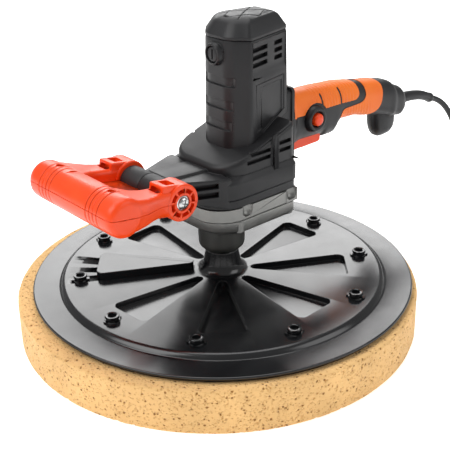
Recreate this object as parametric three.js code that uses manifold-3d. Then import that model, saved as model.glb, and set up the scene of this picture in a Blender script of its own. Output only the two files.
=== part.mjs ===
// Powered grout float: an electric spindle machine that turns a wide sponge pad.
// Millimetres, +Z up. The spindle stands on the Z axis and the sponge's working face is z = 0.
// +X points to the rear handle, -X to the loop handle at the front.
import * as THREE from "three";
import { mergeVertices } from "three/addons/utils/BufferGeometryUtils.js";
import Module from "manifold-3d";

const wasm = await Module();
wasm.setup();
const { Manifold, Mesh } = wasm;

// ---------------------------------------------------------------- driving dimensions
const GAP = 0.3; // left between pieces that rest on or in each other
const WALL = 3; // moulded housing wall

// Pad and backing plate
const SPONGE_R = 195;
const SPONGE_H = 42;
const SPONGE_OFF = [-5, 2]; // the sponge is pressed on a little off centre
const HOOK_R = 182;
const PLATE_R = 185;
const PLATE_Z = 45; // underside of the backing plate
const FLANGE_Z = 48; // top of its outer flange
const DECK_Z = 52.5; // top of its raised middle
const DECK_R = 155.5;
const POCKETS = 8;
const POCKET_Z = 46.8;
const POCKET_IN = 30;
const POCKET_OUT = 122;
const POCKET_HALF = 22; // half the pocket's width at its outer end
const POCKET_START = 229; // direction of the first pocket, degrees from +X
const RIVETS = 10;
const RIVET_RING_R = 139;
const RIVET_START = 327.5;
const HUB_TOP = 75.4;

// Spindle, gears and motor
const MOTOR_X = 35; // motor axis, behind the spindle
const GEAR_MOD_1 = 0.8;
const GEAR_MOD_2 = 1.25;
const PINION_TEETH = 12;
const LAY_GEAR_TEETH = 44;
const SPINDLE_GEAR_TEETH = 48;
const CENTRE_1 = (GEAR_MOD_1 * (PINION_TEETH + LAY_GEAR_TEETH)) / 2;
const CENTRE_2 = (GEAR_MOD_2 * (PINION_TEETH + SPINDLE_GEAR_TEETH)) / 2;
const LAY_X = (CENTRE_2 ** 2 - CENTRE_1 ** 2 + MOTOR_X ** 2) / (2 * MOTOR_X);
const LAY_Y = Math.sqrt(CENTRE_2 ** 2 - LAY_X ** 2);

// Gear case and housings
const CASE_BOTTOM = 110;
const CASE_SPLIT = 123;
const CASE_TOP = 136.5;
const CASE_HALF = 47;
const CASE_REAR = 58;
const CASE_CORNER = 30; // radius of the two front corners
const ROOF_AT_SPINDLE = 183; // the black housing's roof is one sloping plane
const ROOF_SLOPE = 0.33;
const TOWER_TOP = 281.7;
const COLLAR_R = 23;
const COLLAR_BOTTOM = 76;

// Front loop handle
const BAR_X = -84.3;
const BAR_Z = 163.7;
const BAR_R = 13;
const BAR_HALF = 25.5;
const HUB_OUT = 49;
const HUB_R = 16.8;
const LOOP_REACH = 68;
const LOOP_TILT = 9; // degrees above level
const GRIP_R = 17.5;
const GRIP_HALF = 62;

// Rear handle, trigger and lock button
const HANDLE_X = 78.5;
const TRIGGER = { x0: 84, x1: 129, half: 7, z0: 153, z1: 172 };
const BUTTON = { x: 110, z: 184, r: 6.4 };
const BUTTON_BOSS_R = 12.5;
const TRIGGER_TRAVEL = 6;
const BUTTON_TRAVEL = 3;

// Mains cord
const CORD_D = 6.5;
const COIL = { x: 389, y: -97.3, mid: 38.9, wide: 30.8, high: 13.7 };
const PLUG = { x: 340, y: COIL.y - 50.8, z: 18.5 };

// ---------------------------------------------------------------- materials
const material = (colour, roughness, metalness = 0) =>
  new THREE.MeshStandardMaterial({ color: colour, roughness, metalness });
const MAT = {
  sponge: material(0xe3bd7e, 1),
  hook: material(0x1c1c1e, 0.95),
  plate: material(0x202124, 0.35),
  casing: material(0x2b2b2d, 0.6),
  rubber: material(0x1e1f20, 0.8),
  orange: material(0xf4611a, 0.4),
  soft_orange: material(0xf07c22, 0.6),
  aluminium: material(0x7d7d7b, 0.5, 0.8),
  steel: material(0xb8babc, 0.3, 1),
  copper: material(0xb4642e, 0.4, 1),
  carbon: material(0x2a2a2a, 0.7),
  lamination: material(0x6c6e70, 0.5, 0.8),
};

// ---------------------------------------------------------------- geometry helpers
/** A closed geometry as a solid, its faces turned outwards. */
function solid(geometry) {
  const bare = geometry.index ? geometry.toNonIndexed() : geometry.clone();
  for (const name of Object.keys(bare.attributes))
    if (name !== "position") bare.deleteAttribute(name);
  const merged = mergeVertices(bare, 1e-3);
  const triVerts = new Uint32Array(merged.index.array);
  const build = () =>
    new Manifold(
      new Mesh({
        numProp: 3,
        vertProperties: new Float32Array(merged.attributes.position.array),
        triVerts,
      }),
    );
  const made = build();
  if (made.volume() > 0) return made;
  for (let i = 0; i < triVerts.length; i += 3)
    [triVerts[i + 1], triVerts[i + 2]] = [triVerts[i + 2], triVerts[i + 1]];
  return build();
}

/** A solid as a geometry for a mesh. */
function geometryOf(body) {
  const mesh = body.getMesh();
  const step = mesh.numProp;
  const points = new Float32Array(mesh.numVert * 3);
  for (let i = 0; i < mesh.numVert; i++)
    points.set(mesh.vertProperties.subarray(i * step, i * step + 3), i * 3);
  return new THREE.BufferGeometry()
    .setAttribute("position", new THREE.BufferAttribute(points, 3))
    .setIndex(new THREE.BufferAttribute(mesh.triVerts, 1));
}

/** Turned piece about an upright axis at (x, y); profile is [radius, z] pairs. */
function turned(profile, { x = 0, y = 0, segments = 32 } = {}) {
  const closed = profile[0][0] > 0 || profile.at(-1)[0] > 0;
  const line = closed ? [...profile, profile[0]] : profile;
  const points = line.map(([r, z]) => new THREE.Vector2(r, z));
  const lathe = new THREE.LatheGeometry(points, segments);
  return solid(lathe.rotateX(Math.PI / 2).translate(x, y, 0));
}

/** Tube or rod: outer and inner radius between two heights. */
const sleeve = (outer, inner, z0, z1, options) =>
  turned(
    inner > 0
      ? [[inner, z0], [outer, z0], [outer, z1], [inner, z1]]
      : [[0, z0], [outer, z0], [outer, z1], [0, z1]],
    options,
  );

/** A turned piece laid along Y: profile is [radius, y] pairs about the line x, z. */
const turnedY = (profile, x, z, segments = 28) =>
  turned(profile, { segments }).rotate([-90, 0, 0]).translate([x, 0, z]);

/** A turned piece laid along X: profile is [radius, x] pairs about the line y, z. */
const turnedX = (profile, y, z, segments = 24) =>
  turned(profile, { segments }).rotate([0, 90, 0]).translate([0, y, z]);

const box = (x0, x1, y0, y1, z0, z1) =>
  solid(
    new THREE.BoxGeometry(x1 - x0, y1 - y0, z1 - z0).translate(
      (x0 + x1) / 2,
      (y0 + y1) / 2,
      (z0 + z1) / 2,
    ),
  );

const plate = (shape, z0, z1, curveSegments = 5) =>
  solid(
    new THREE.ExtrudeGeometry(shape, {
      depth: z1 - z0,
      bevelEnabled: false,
      curveSegments,
    }).translate(0, 0, z0),
  );

/** Skin over closed sections that all have the same number of [x, y, z] points. */
function loft(sections) {
  const count = sections[0].length;
  const points = sections.flat(2);
  const index = [];
  for (let s = 0; s + 1 < sections.length; s++)
    for (let i = 0; i < count; i++) {
      const j = (i + 1) % count;
      const [a, b] = [s * count + i, s * count + j];
      index.push(a, b, b + count, a, b + count, a + count);
    }
  const capOf = (section) => {
    const across = new THREE.Vector3(...section[1]).sub(new THREE.Vector3(...section[0]));
    const normal = new THREE.Vector3();
    section.forEach((p, i) => {
      const q = section[(i + 1) % count];
      normal.add(new THREE.Vector3(...p).cross(new THREE.Vector3(...q)));
    });
    const u = across.normalize();
    const v = normal.normalize().cross(u);
    const flat = section.map(
      (p) => new THREE.Vector2(u.dot(new THREE.Vector3(...p)), v.dot(new THREE.Vector3(...p))),
    );
    return THREE.ShapeUtils.triangulateShape(flat, []);
  };
  for (const [a, b, c] of capOf(sections[0])) index.push(a, c, b);
  const last = (sections.length - 1) * count;
  for (const [a, b, c] of capOf(sections.at(-1))) index.push(last + a, last + b, last + c);
  const geometry = new THREE.BufferGeometry()
    .setAttribute("position", new THREE.Float32BufferAttribute(points, 3))
    .setIndex(index);
  return solid(geometry);
}

/** The largest of the bodies a cut leaves behind. */
const largest = (body) =>
  body.decompose().reduce((best, one) => (one.volume() > best.volume() ? one : best));

const rad = THREE.MathUtils.degToRad;

// ---------------------------------------------------------------- the assembly
const machine = new THREE.Group();
function add(name, body, finish) {
  const mesh = new THREE.Mesh(geometryOf(body), finish);
  mesh.name = name;
  machine.add(mesh);
}

// ---------------------------------------------------------------- pad and backing plate
function pad() {
  const sponge = turned(
    [[0, 0], [SPONGE_R - 2, 0], [SPONGE_R, 2], [SPONGE_R, SPONGE_H - 2],
      [SPONGE_R - 2, SPONGE_H], [0, SPONGE_H]],
    { x: SPONGE_OFF[0], y: SPONGE_OFF[1], segments: 48 },
  );
  add("sponge_pad", sponge, MAT.sponge);
  const hook = sleeve(HOOK_R, 0, SPONGE_H + GAP, PLATE_Z - GAP, { segments: 48 });
  add("hook_and_loop_disc", hook, MAT.hook);
}

/** The tapering recess between two spokes of the plate, along +X. */
function pocketShape() {
  const shape = new THREE.Shape();
  const tip = 4;
  const corner = 4;
  shape.moveTo(POCKET_IN, -tip);
  shape.lineTo(POCKET_OUT - corner, -POCKET_HALF);
  shape.quadraticCurveTo(POCKET_OUT, -POCKET_HALF, POCKET_OUT, -POCKET_HALF + corner);
  shape.lineTo(POCKET_OUT, POCKET_HALF - corner);
  shape.quadraticCurveTo(POCKET_OUT, POCKET_HALF, POCKET_OUT - corner, POCKET_HALF);
  shape.lineTo(POCKET_IN, tip);
  shape.quadraticCurveTo(POCKET_IN - tip, 0, POCKET_IN, -tip);
  return shape;
}

const RIVET_SHANK_R = 3.5;
const rivetPlace = (i) => {
  const angle = rad(RIVET_START + (i * 360) / RIVETS);
  return [RIVET_RING_R * Math.cos(angle), RIVET_RING_R * Math.sin(angle)];
};

function backingPlate() {
  let body = turned(
    [[8.2, PLATE_Z], [PLATE_R, PLATE_Z], [PLATE_R, FLANGE_Z], [DECK_R + 3, FLANGE_Z],
      [DECK_R, DECK_Z], [27, DECK_Z], [21, DECK_Z + 3.5], [18, DECK_Z + 9],
      [16.2, HUB_TOP - 6], [16, HUB_TOP], [8.2, HUB_TOP]],
    { segments: 48 },
  );
  const pocket = plate(pocketShape(), POCKET_Z, DECK_Z + 5, 3);
  for (let i = 0; i < POCKETS; i++)
    body = body.subtract(pocket.rotate([0, 0, POCKET_START + (i * 360) / POCKETS]));
  for (let i = 0; i < RIVETS; i++) {
    const [x, y] = rivetPlace(i);
    const hole = sleeve(RIVET_SHANK_R + GAP, 0, PLATE_Z - 1, DECK_Z + 1, { x, y, segments: 10 });
    body = body.subtract(hole);
  }
  add("backing_plate", body, MAT.plate);
}

/** Plastic rivets that hold the hook-and-loop disc's carrier to the plate. */
function plateRivets() {
  const seat = DECK_Z + GAP;
  const profile = [
    [0, PLATE_Z + GAP], [RIVET_SHANK_R, PLATE_Z + GAP], [RIVET_SHANK_R, seat], [7, seat],
    [7, seat + 1.4], [6.1, seat + 1.8], [6.1, seat + 4.6], [2.9, seat + 4.6], [0, seat + 3],
  ];
  for (let i = 0; i < RIVETS; i++) {
    const [x, y] = rivetPlace(i);
    add(`plate_rivet_${i + 1}`, turned(profile, { x, y, segments: 10 }), MAT.plate);
  }
}

// ---------------------------------------------------------------- gears
/** Spur gear outline with involute flanks, thinned a little so that the pair runs free. */
function gearShape(teeth, module_, turn) {
  const PRESSURE = rad(20);
  const BACKLASH = 0.16 * module_;
  const pitch = (teeth * module_) / 2;
  const base = pitch * Math.cos(PRESSURE);
  const tip = pitch + 0.8 * module_;
  const root = pitch - 1.25 * module_;
  const involute = (r) => {
    const a = Math.acos(Math.min(1, base / Math.max(r, base)));
    return Math.tan(a) - a;
  };
  const halfAtPitch = (Math.PI * module_ - 2 * BACKLASH) / (4 * pitch);
  const half = (r) => halfAtPitch + involute(pitch) - involute(r);
  const radii = [root, pitch, tip];
  const points = [];
  for (let i = 0; i < teeth; i++) {
    const centre = turn + (i * 2 * Math.PI) / teeth;
    for (const r of radii) points.push([r, centre - half(r)]);
    for (const r of [...radii].reverse()) points.push([r, centre + half(r)]);
  }
  return new THREE.Shape(
    points.map(([r, a]) => new THREE.Vector2(r * Math.cos(a), r * Math.sin(a))),
  );
}

const SPINDLE_R = 7.5;
const LAY_R = 4;
const SHAFT_R = 4;

function gearTrain() {
  // Directions from one axis to the next, so that a tooth always faces a space.
  const layDirection = Math.atan2(LAY_Y, LAY_X);
  const motorDirection = Math.atan2(-LAY_Y, MOTOR_X - LAY_X);
  const toothOf = (teeth) => Math.PI / teeth;

  const spindleGear = plate(gearShape(SPINDLE_GEAR_TEETH, GEAR_MOD_2, layDirection), 118, 128)
    .subtract(sleeve(SPINDLE_R + GAP, 0, 110, 140, { segments: 24 }));
  add("spindle_gear", spindleGear, MAT.steel);

  const layPinion = plate(
    gearShape(PINION_TEETH, GEAR_MOD_2, layDirection + Math.PI + toothOf(PINION_TEETH)),
    117, 131,
  ).translate([LAY_X, LAY_Y, 0]);
  const layRod = sleeve(LAY_R, 0, 112.5, 151.5, { x: LAY_X, y: LAY_Y, segments: 20 });
  const layGear = plate(gearShape(LAY_GEAR_TEETH, GEAR_MOD_1, motorDirection), 134, 141)
    .translate([LAY_X, LAY_Y, 0]);
  add("layshaft", layRod.add(layPinion).add(layGear), MAT.steel);

  const motorPinion = plate(
    gearShape(PINION_TEETH, GEAR_MOD_1, motorDirection + Math.PI + toothOf(PINION_TEETH)),
    132, 144,
  ).translate([MOTOR_X, 0, 0]);
  const rod = sleeve(SHAFT_R, 0, 140, 290, { x: MOTOR_X, segments: 20 });
  add("motor_shaft", rod.add(motorPinion), MAT.steel);

  const spindle = turned(
    [[0, 56], [7, 56], [7, 78], [SPINDLE_R, 78], [SPINDLE_R, 129], [5, 129], [5, 131], [0, 131]],
    { segments: 24 },
  );
  add("spindle", spindle, MAT.steel);
}

// ---------------------------------------------------------------- bearings
/** Sealed ball bearing as one ring with a groove in its upper face. */
function bearing(name, outer, inner, z0, z1, x, y = 0) {
  const mid = (outer + inner) / 2;
  const groove = (outer - inner) * 0.14;
  const profile = [
    [inner, z0], [outer, z0], [outer, z1], [mid + groove, z1],
    [mid + groove, z1 - 0.8], [mid - groove, z1 - 0.8], [mid - groove, z1], [inner, z1],
  ];
  add(name, turned(profile, { x, y, segments: 16 }), MAT.steel);
}

// ---------------------------------------------------------------- gear case
/** Plan outline of the gear case: wide rear, two large front corners. */
function caseShape(front, half, rear, corner = CASE_CORNER) {
  const REAR_CORNER = 8;
  const shape = new THREE.Shape();
  shape.moveTo(front, -half + corner);
  shape.absarc(front + corner, -half + corner, corner, Math.PI, 1.5 * Math.PI, false);
  shape.absarc(rear - REAR_CORNER, -half + REAR_CORNER, REAR_CORNER, 1.5 * Math.PI, 2 * Math.PI, false);
  shape.absarc(rear - REAR_CORNER, half - REAR_CORNER, REAR_CORNER, 0, Math.PI / 2, false);
  shape.absarc(front + corner, half - corner, corner, Math.PI / 2, Math.PI, false);
  return shape;
}

const CASE_SCREWS = [[-14, 39.5], [-14, -39.5], [49, 39], [49, -39]];
const PLATE_BORE_Z = [145, 153]; // the bearing plate's two faces

function gearCase() {
  const cavity = plate(caseShape(-36, CASE_HALF - 5, CASE_REAR - 5, 26), CASE_BOTTOM + 5, 400, 4);
  let cover = plate(caseShape(-39.5, CASE_HALF - 1, CASE_REAR - 1), CASE_BOTTOM, CASE_SPLIT - GAP);
  cover = cover.subtract(cavity);
  cover = cover.add(
    turned([[0, COLLAR_BOTTOM], [17.5, COLLAR_BOTTOM], [21, COLLAR_BOTTOM + 3], [22.5, COLLAR_BOTTOM + 8],
      [COLLAR_R, CASE_BOTTOM + 1], [0, CASE_BOTTOM + 1]], { segments: 28 }),
  );
  const bore = turned(
    [[0, 70], [9, 70], [9, 84.7], [16, 84.7], [16, 94.3], [9, 94.3], [9, 103.7],
      [16, 103.7], [16, 120], [0, 120]],
    { segments: 24 },
  );
  const laySeat = sleeve(LAY_R + GAP, 0, 112, 116, { x: LAY_X, y: LAY_Y, segments: 16 });
  cover = cover.subtract(bore).subtract(laySeat);
  let middle = plate(caseShape(-43.5, CASE_HALF, CASE_REAR), CASE_SPLIT, CASE_TOP);
  middle = middle.subtract(cavity);
  for (const [x, y] of CASE_SCREWS) {
    const boss = sleeve(5.2, 0, CASE_BOTTOM + 1, CASE_SPLIT - GAP, { x, y, segments: 14 });
    const upperBoss = sleeve(5.2, 0, CASE_SPLIT, CASE_TOP, { x, y, segments: 14 });
    const hole = sleeve(2.3, 0, CASE_BOTTOM - 1, CASE_TOP + 1, { x, y, segments: 10 });
    const recess = sleeve(4.2, 0, CASE_BOTTOM - 1, CASE_BOTTOM + 3, { x, y, segments: 12 });
    cover = cover.add(boss).subtract(hole).subtract(recess);
    middle = middle.add(upperBoss).subtract(hole);
  }
  add("gear_case_cover", cover, MAT.aluminium);
  add("gear_case_middle", middle, MAT.aluminium);
  CASE_SCREWS.forEach(([x, y], i) => {
    const head = sleeve(3.8, 0, CASE_BOTTOM - 0.2, CASE_BOTTOM + 2.7, { x, y, segments: 12 });
    const shank = sleeve(1.9, 0, CASE_BOTTOM + 2.5, CASE_TOP - 2, { x, y, segments: 10 });
    add(`gear_case_screw_${i + 1}`, head.add(shank), MAT.steel);
  });
  let web = plate(caseShape(-40, CASE_HALF - WALL - GAP - 0.5, CASE_REAR - WALL - GAP, 26), ...PLATE_BORE_Z, 6);
  const seats = [[MOTOR_X, 0, 11], [LAY_X, LAY_Y, LAY_R]];
  for (const [x, y, r] of seats)
    web = web.subtract(sleeve(r + GAP, 0, PLATE_BORE_Z[0] - 1, PLATE_BORE_Z[1] + 1, { x, y, segments: 20 }));
  add("bearing_plate", web, MAT.aluminium);
}

// ---------------------------------------------------------------- black housings
/** Everything above the sloping roof plane, raised by lift. */
function aboveRoof(lift) {
  const SIZE = 600;
  const tilt = THREE.MathUtils.radToDeg(Math.atan(ROOF_SLOPE));
  return box(-SIZE, SIZE, -SIZE, SIZE, 0, SIZE)
    .rotate([0, -tilt, 0])
    .translate([0, 0, ROOF_AT_SPINDLE + lift]);
}

// Outline of the motor tower on its right side, front to back.
const TOWER_SIDE = [[-4.5, -12], [-1.5, -19], [6.5, -27.5], [11, -33], [70, -20.5], [73, -15]];
const TOWER_MID = 35;
const TOWER_TAPER = 0.935;

/** Tower section at a height, grown or shrunk by a factor about its middle. */
function towerSection(z, factor) {
  const left = TOWER_SIDE.map(([x, y]) => [x, -y]).reverse();
  return [...TOWER_SIDE, ...left].map(([x, y]) => [TOWER_MID + (x - TOWER_MID) * factor, y * factor, z]);
}

/** The whole tower between two heights, its surface moved in by inset. */
function tower(inset, z0, z1) {
  const less = inset / 36;
  return loft([
    towerSection(z0, 1 - less),
    towerSection(TOWER_TOP, TOWER_TAPER - less),
    ...(z1 > TOWER_TOP + 1 ? [towerSection(z1, TOWER_TAPER - less)] : []),
  ]);
}

const BRUSH_Z = 268.5;
const PAD_X = [58.5, HANDLE_X - GAP];

/** Ribbed arm that grows out of the gear housing and cups the front bar. */
function bracketArm() {
  const arm = new THREE.Shape();
  arm.moveTo(BAR_X + 12, BAR_Z - 12);
  arm.lineTo(-26, 138.5);
  arm.lineTo(-26, 166.5);
  arm.lineTo(BAR_X + 12, BAR_Z + 7);
  const half = 24;
  const root = 43;
  const wedge = new THREE.Shape();
  wedge.moveTo(BAR_X + 11, -half);
  wedge.lineTo(-70, -half);
  wedge.lineTo(-30, -root);
  wedge.lineTo(-26, -root);
  wedge.lineTo(-26, root);
  wedge.lineTo(-30, root);
  wedge.lineTo(-70, half);
  wedge.lineTo(BAR_X + 11, half);
  const flare = solid(new THREE.ExtrudeGeometry(wedge, { depth: 100, bevelEnabled: false })).translate([0, 0, 100]);
  const side = solid(
    new THREE.ExtrudeGeometry(arm, { depth: 2 * root, bevelEnabled: false }).rotateX(Math.PI / 2),
  ).translate([0, root, 0]).intersect(flare).subtract(housingCavity());
  const around = turnedY([[0, -half - 1], [BAR_R + GAP, -half - 1], [BAR_R + GAP, half + 1], [0, half + 1]], BAR_X, BAR_Z);
  let bracket = side.subtract(around);
  const spread = THREE.MathUtils.radToDeg(Math.atan2(root - half, 40));
  for (const sign of [-1, 1])
    for (const z of [151.5, 160]) {
      const groove = box(6, 38, -5, 5, z, z + 4.8).rotate([0, 0, -spread]).translate([-70, -half, 0]);
      bracket = bracket.subtract(sign < 0 ? groove : groove.mirror([0, 1, 0]));
    }
  return bracket;
}

const SHOULDER_Z = 163;

/** Room inside the gear housing: wide below its shoulder, narrower above. */
function housingCavity() {
  const wide = plate(caseShape(-41, CASE_HALF - WALL, CASE_REAR - WALL, 27), CASE_TOP, SHOULDER_Z - WALL, 6);
  const high = plate(caseShape(-25.5, 40.5, CASE_REAR - WALL, 24), SHOULDER_Z - WALL - 1, 260, 6);
  return wide.add(high.subtract(aboveRoof(-WALL)));
}

function housings() {
  let lower = plate(caseShape(-44, CASE_HALF, CASE_REAR), CASE_TOP + GAP, SHOULDER_Z);
  lower = lower.add(plate(caseShape(-28.5, 43.5, CASE_REAR, 27), SHOULDER_Z - 1, 260).subtract(aboveRoof(0)));
  lower = lower.subtract(housingCavity()).subtract(tower(WALL, 150, 300));
  const slot = (x0, x1, z) => box(x0, x1, -CASE_HALF, -CASE_HALF + 9, z, z + 3.2);
  for (const side of [0, 180])
    for (const [x0, x1, z] of [[-4, 26, 173.5], [1, 26, 180], [35, 50, 175.5], [35, 50, 183]]) {
      const cut = slot(x0, x1, z);
      lower = lower.subtract(side ? cut.mirror([0, 1, 0]) : cut);
    }
  add("gear_housing", lower.add(bracketArm()), MAT.casing);

  let upper = tower(0, 150, TOWER_TOP).intersect(aboveRoof(GAP));
  const ribbedPad = box(...PAD_X, -19, 19, 150, 221);
  upper = upper.add(ribbedPad.subtract(box(0, CASE_REAR + GAP, -60, 60, 100, 230)));
  upper = upper.subtract(tower(WALL, 140, 320));
  upper = upper.subtract(box(60, 74.8, -15.5, 15.5, 153.5, 217.5));
  const boss = turnedX([[0, -7.5], [11, -7.5], [11, 4], [0, 4]], 0, BRUSH_Z);
  const rearBoss = box(64, 76.5, -12, 12, BRUSH_Z - 16, BRUSH_Z + 9);
  upper = upper.add(boss.subtract(tower(WALL, 140, 320))).add(rearBoss.subtract(tower(WALL, 140, 320)));
  const bores = turnedX([[0, -20], [7.6, -20], [7.6, 90], [0, 90]], 0, BRUSH_Z);
  upper = upper.subtract(bores);
  for (const side of [-1, 1])
    for (const [x0, x1] of [[16, 38], [50, 62]])
      for (let i = 0; i < 3; i++) {
        const z = 257 + i * 6.8;
        const reach = side < 0 ? [-45, -13] : [13, 45];
        upper = upper.subtract(box(x0, x1, ...reach, z, z + 3));
      }
  add("motor_housing", upper, MAT.casing);
}

function topCap() {
  const base = TOWER_TOP + GAP;
  const outer = loft([
    towerSection(base, TOWER_TAPER),
    towerSection(base + 2.5, TOWER_TAPER),
    towerSection(base + 13.5, 0.74),
    towerSection(base + 17.5, 0.58),
    towerSection(base + 19, 0.3),
  ]);
  const hollow = loft([towerSection(base - 1, 0.89), towerSection(base + 10, 0.66)]);
  const seat = sleeve(15, 0, base, base + 11, { x: MOTOR_X, segments: 24 });
  const bore = sleeve(11 + GAP, 0, base - 1, base + 8, { x: MOTOR_X, segments: 24 });
  const body = outer.subtract(hollow).add(seat).subtract(bore);
  add("top_cap", body, MAT.casing);
}

function brushGear() {
  const cap = turnedX([[0, -6.5], [4.5, -6.5], [4.5, -5.5], [7.3, -5.5], [7.3, 3], [0, 3]], 0, BRUSH_Z);
  const slot = box(-8, -5.7, -0.8, 0.8, BRUSH_Z - 3.6, BRUSH_Z + 3.6);
  const front = cap.subtract(slot);
  add("brush_cap_front", front, MAT.casing);
  add("brush_cap_rear", front.mirror([1, 0, 0]).translate([69.5, 0, 0]), MAT.casing);
  const brush = (x0, x1) => box(x0, x1, -3, 3, BRUSH_Z - 4.5, BRUSH_Z + 4.5);
  add("carbon_brush_front", brush(6, MOTOR_X - 12.5), MAT.carbon);
  add("carbon_brush_rear", brush(MOTOR_X + 12.5, 62), MAT.carbon);
}

// ---------------------------------------------------------------- motor
function motor() {
  const at = { x: MOTOR_X, segments: 24 };
  add("stator_core", sleeve(22.8, 18.2, 197, 240, at), MAT.lamination);
  add("field_coil_lower", sleeve(22.2, 18.6, 188, 197 - GAP, at), MAT.copper);
  add("field_coil_upper", sleeve(22.2, 18.6, 240 + GAP, 249, at), MAT.copper);
  add("armature_core", sleeve(17.7, SHAFT_R + GAP, 197, 240, at), MAT.lamination);
  add("commutator", sleeve(12, SHAFT_R + GAP, 261, 277, at), MAT.copper);
  const hub = sleeve(9, SHAFT_R + GAP, 160, 171, at);
  const disc = sleeve(28, 8, 160, 162, at);
  let fan = hub.add(disc);
  const BLADES = 7;
  for (let i = 0; i < BLADES; i++) {
    const blade = box(8, 27, -0.9, 0.9, 161, 170)
      .rotate([0, 0, (i * 360) / BLADES])
      .translate([MOTOR_X, 0, 0]);
    fan = fan.add(blade);
  }
  add("cooling_fan", fan, MAT.casing);
}

// ---------------------------------------------------------------- front loop handle
function crossbar() {
  const bar = turnedY(
    [[4.4, -BAR_HALF], [BAR_R, -BAR_HALF], [BAR_R, BAR_HALF], [4.4, BAR_HALF]],
    BAR_X, BAR_Z,
  );
  add("handle_crossbar", bar, MAT.rubber);
}

/** Places a piece made about the origin, +X towards the grip, on the crossbar's axis. */
const onBar = (body) => body.rotate([0, LOOP_TILT + 180, 0]).translate([BAR_X, 0, BAR_Z]);

const LOOP_SCREWS = [[LOOP_REACH, 38], [LOOP_REACH, -38], [18, 37.5], [18, -37.5]];

function loopHandle() {
  const arm = (sign) => {
    const shape = new THREE.Shape();
    shape.moveTo(0, sign * 27);
    shape.lineTo(26, sign * 27);
    shape.quadraticCurveTo(40, sign * 28, 50, sign * 20);
    shape.lineTo(LOOP_REACH, sign * 20);
    shape.lineTo(LOOP_REACH, sign * (GRIP_HALF - 4));
    shape.lineTo(44, sign * (GRIP_HALF - 2));
    shape.quadraticCurveTo(30, sign * (HUB_OUT + 1), 12, sign * HUB_OUT);
    shape.lineTo(0, sign * HUB_OUT);
    return plate(shape, -10.5, 10.5, 4);
  };
  const grip = turnedY(
    [[0, -GRIP_HALF], [12, -GRIP_HALF], [16.3, -GRIP_HALF + 3], [GRIP_R, -GRIP_HALF + 9],
      [GRIP_R, GRIP_HALF - 9], [16.3, GRIP_HALF - 3], [12, GRIP_HALF], [0, GRIP_HALF]],
    LOOP_REACH, 0,
  );
  let whole = grip.add(arm(1)).add(arm(-1));
  for (const sign of [-1, 1]) {
    const ends = sign < 0 ? [-HUB_OUT, -BAR_HALF - GAP] : [BAR_HALF + GAP, HUB_OUT];
    whole = whole.add(turnedY([[0, ends[0]], [HUB_R, ends[0]], [HUB_R, ends[1]], [0, ends[1]]], 0, 0));
  }
  const core = turnedY([[0, -50], [14, -50], [14, 50], [0, 50]], LOOP_REACH, 0, 20);
  const bolts = turnedY([[0, -60], [4.3, -60], [4.3, 60], [0, 60]], 0, 0, 16);
  whole = whole.subtract(core).subtract(bolts);
  for (const sign of [-1, 1]) {
    const ends = sign < 0 ? [-HUB_OUT - 1, -HUB_OUT + 5] : [HUB_OUT - 5, HUB_OUT + 1];
    const washer = sign < 0 ? [-HUB_OUT - 1, -HUB_OUT + 2] : [HUB_OUT - 2, HUB_OUT + 1];
    const ring = turnedY([[9, ends[0]], [12.6, ends[0]], [12.6, ends[1]], [9, ends[1]]], 0, 0, 24);
    const spokes = [0, 45, 90, 135].map((turn) =>
      box(-15, 15, ends[0] - 1, ends[1] + 1, -0.8, 0.8).rotate([0, turn + 22.5, 0]));
    whole = whole.subtract(spokes.reduce((cut, spoke) => cut.subtract(spoke), ring));
    whole = whole.subtract(turnedY([[0, washer[0]], [6.8, washer[0]], [6.8, washer[1]], [0, washer[1]]], 0, 0, 20));
  }
  for (const [u, y] of LOOP_SCREWS) {
    const hole = sleeve(2, 0, -15, 25, { x: u, y, segments: 10 });
    const recess = sleeve(3.9, 0, -40, -7, { x: u, y, segments: 14 });
    whole = whole.subtract(hole).subtract(recess);
  }
  // onBar turns the piece over, so its lower half here is the upper half on the machine.
  const HALF_SPACE = 200;
  const up = box(-HALF_SPACE, HALF_SPACE, -HALF_SPACE, HALF_SPACE, -HALF_SPACE, -GAP / 2);
  const down = box(-HALF_SPACE, HALF_SPACE, -HALF_SPACE, HALF_SPACE, GAP / 2, HALF_SPACE);
  add("loop_handle_upper", onBar(whole.intersect(up)), MAT.orange);
  add("loop_handle_lower", onBar(whole.intersect(down)), MAT.orange);
  LOOP_SCREWS.forEach(([u, y], i) => {
    const head = sleeve(3.5, 0, -9.5, -7.2, { x: u, y, segments: 12 });
    const shank = sleeve(1.7, 0, -7.3, 8, { x: u, y, segments: 8 });
    add(`loop_screw_${i + 1}`, onBar(head.add(shank)), MAT.steel);
  });
}

function pivotBolts() {
  for (const [name, sign] of [["right", -1], ["left", 1]]) {
    const seat = HUB_OUT - 2 + GAP;
    const bolt = turnedY(
      [[0, 8], [4, 8], [4, seat], [6.4, seat], [6.4, seat + 1.4], [5, seat + 1.6], [4.6, seat + 3.6], [0, seat + 4]],
      BAR_X, BAR_Z, 18,
    );
    add(`pivot_bolt_${name}`, sign < 0 ? bolt.mirror([0, 1, 0]) : bolt, MAT.steel);
  }
}

// ---------------------------------------------------------------- rear handle
// x, centre height, half height, half width
const HANDLE = [
  [HANDLE_X, 187, 33, 20], [82, 187, 32.4, 19.4], [84.5, 187.2, 29, 17], [96.5, 187, 25.5, 16.5],
  [126, 186, 25, 17.5], [131, 184, 26.5, 17.5], [143, 183.5, 26, 17], [153, 189.5, 19.3, 16.5],
  [175, 187.5, 18, 16.5], [200, 182.5, 18.5, 17], [226, 176.5, 20, 18], [233, 173.5, 21, 18.5],
  [239, 171, 17.5, 17], [250, 168, 17, 16.5], [257, 166.5, 13, 13],
];
const HANDLE_SQUARE = 2.6; // superellipse power of the section

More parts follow.
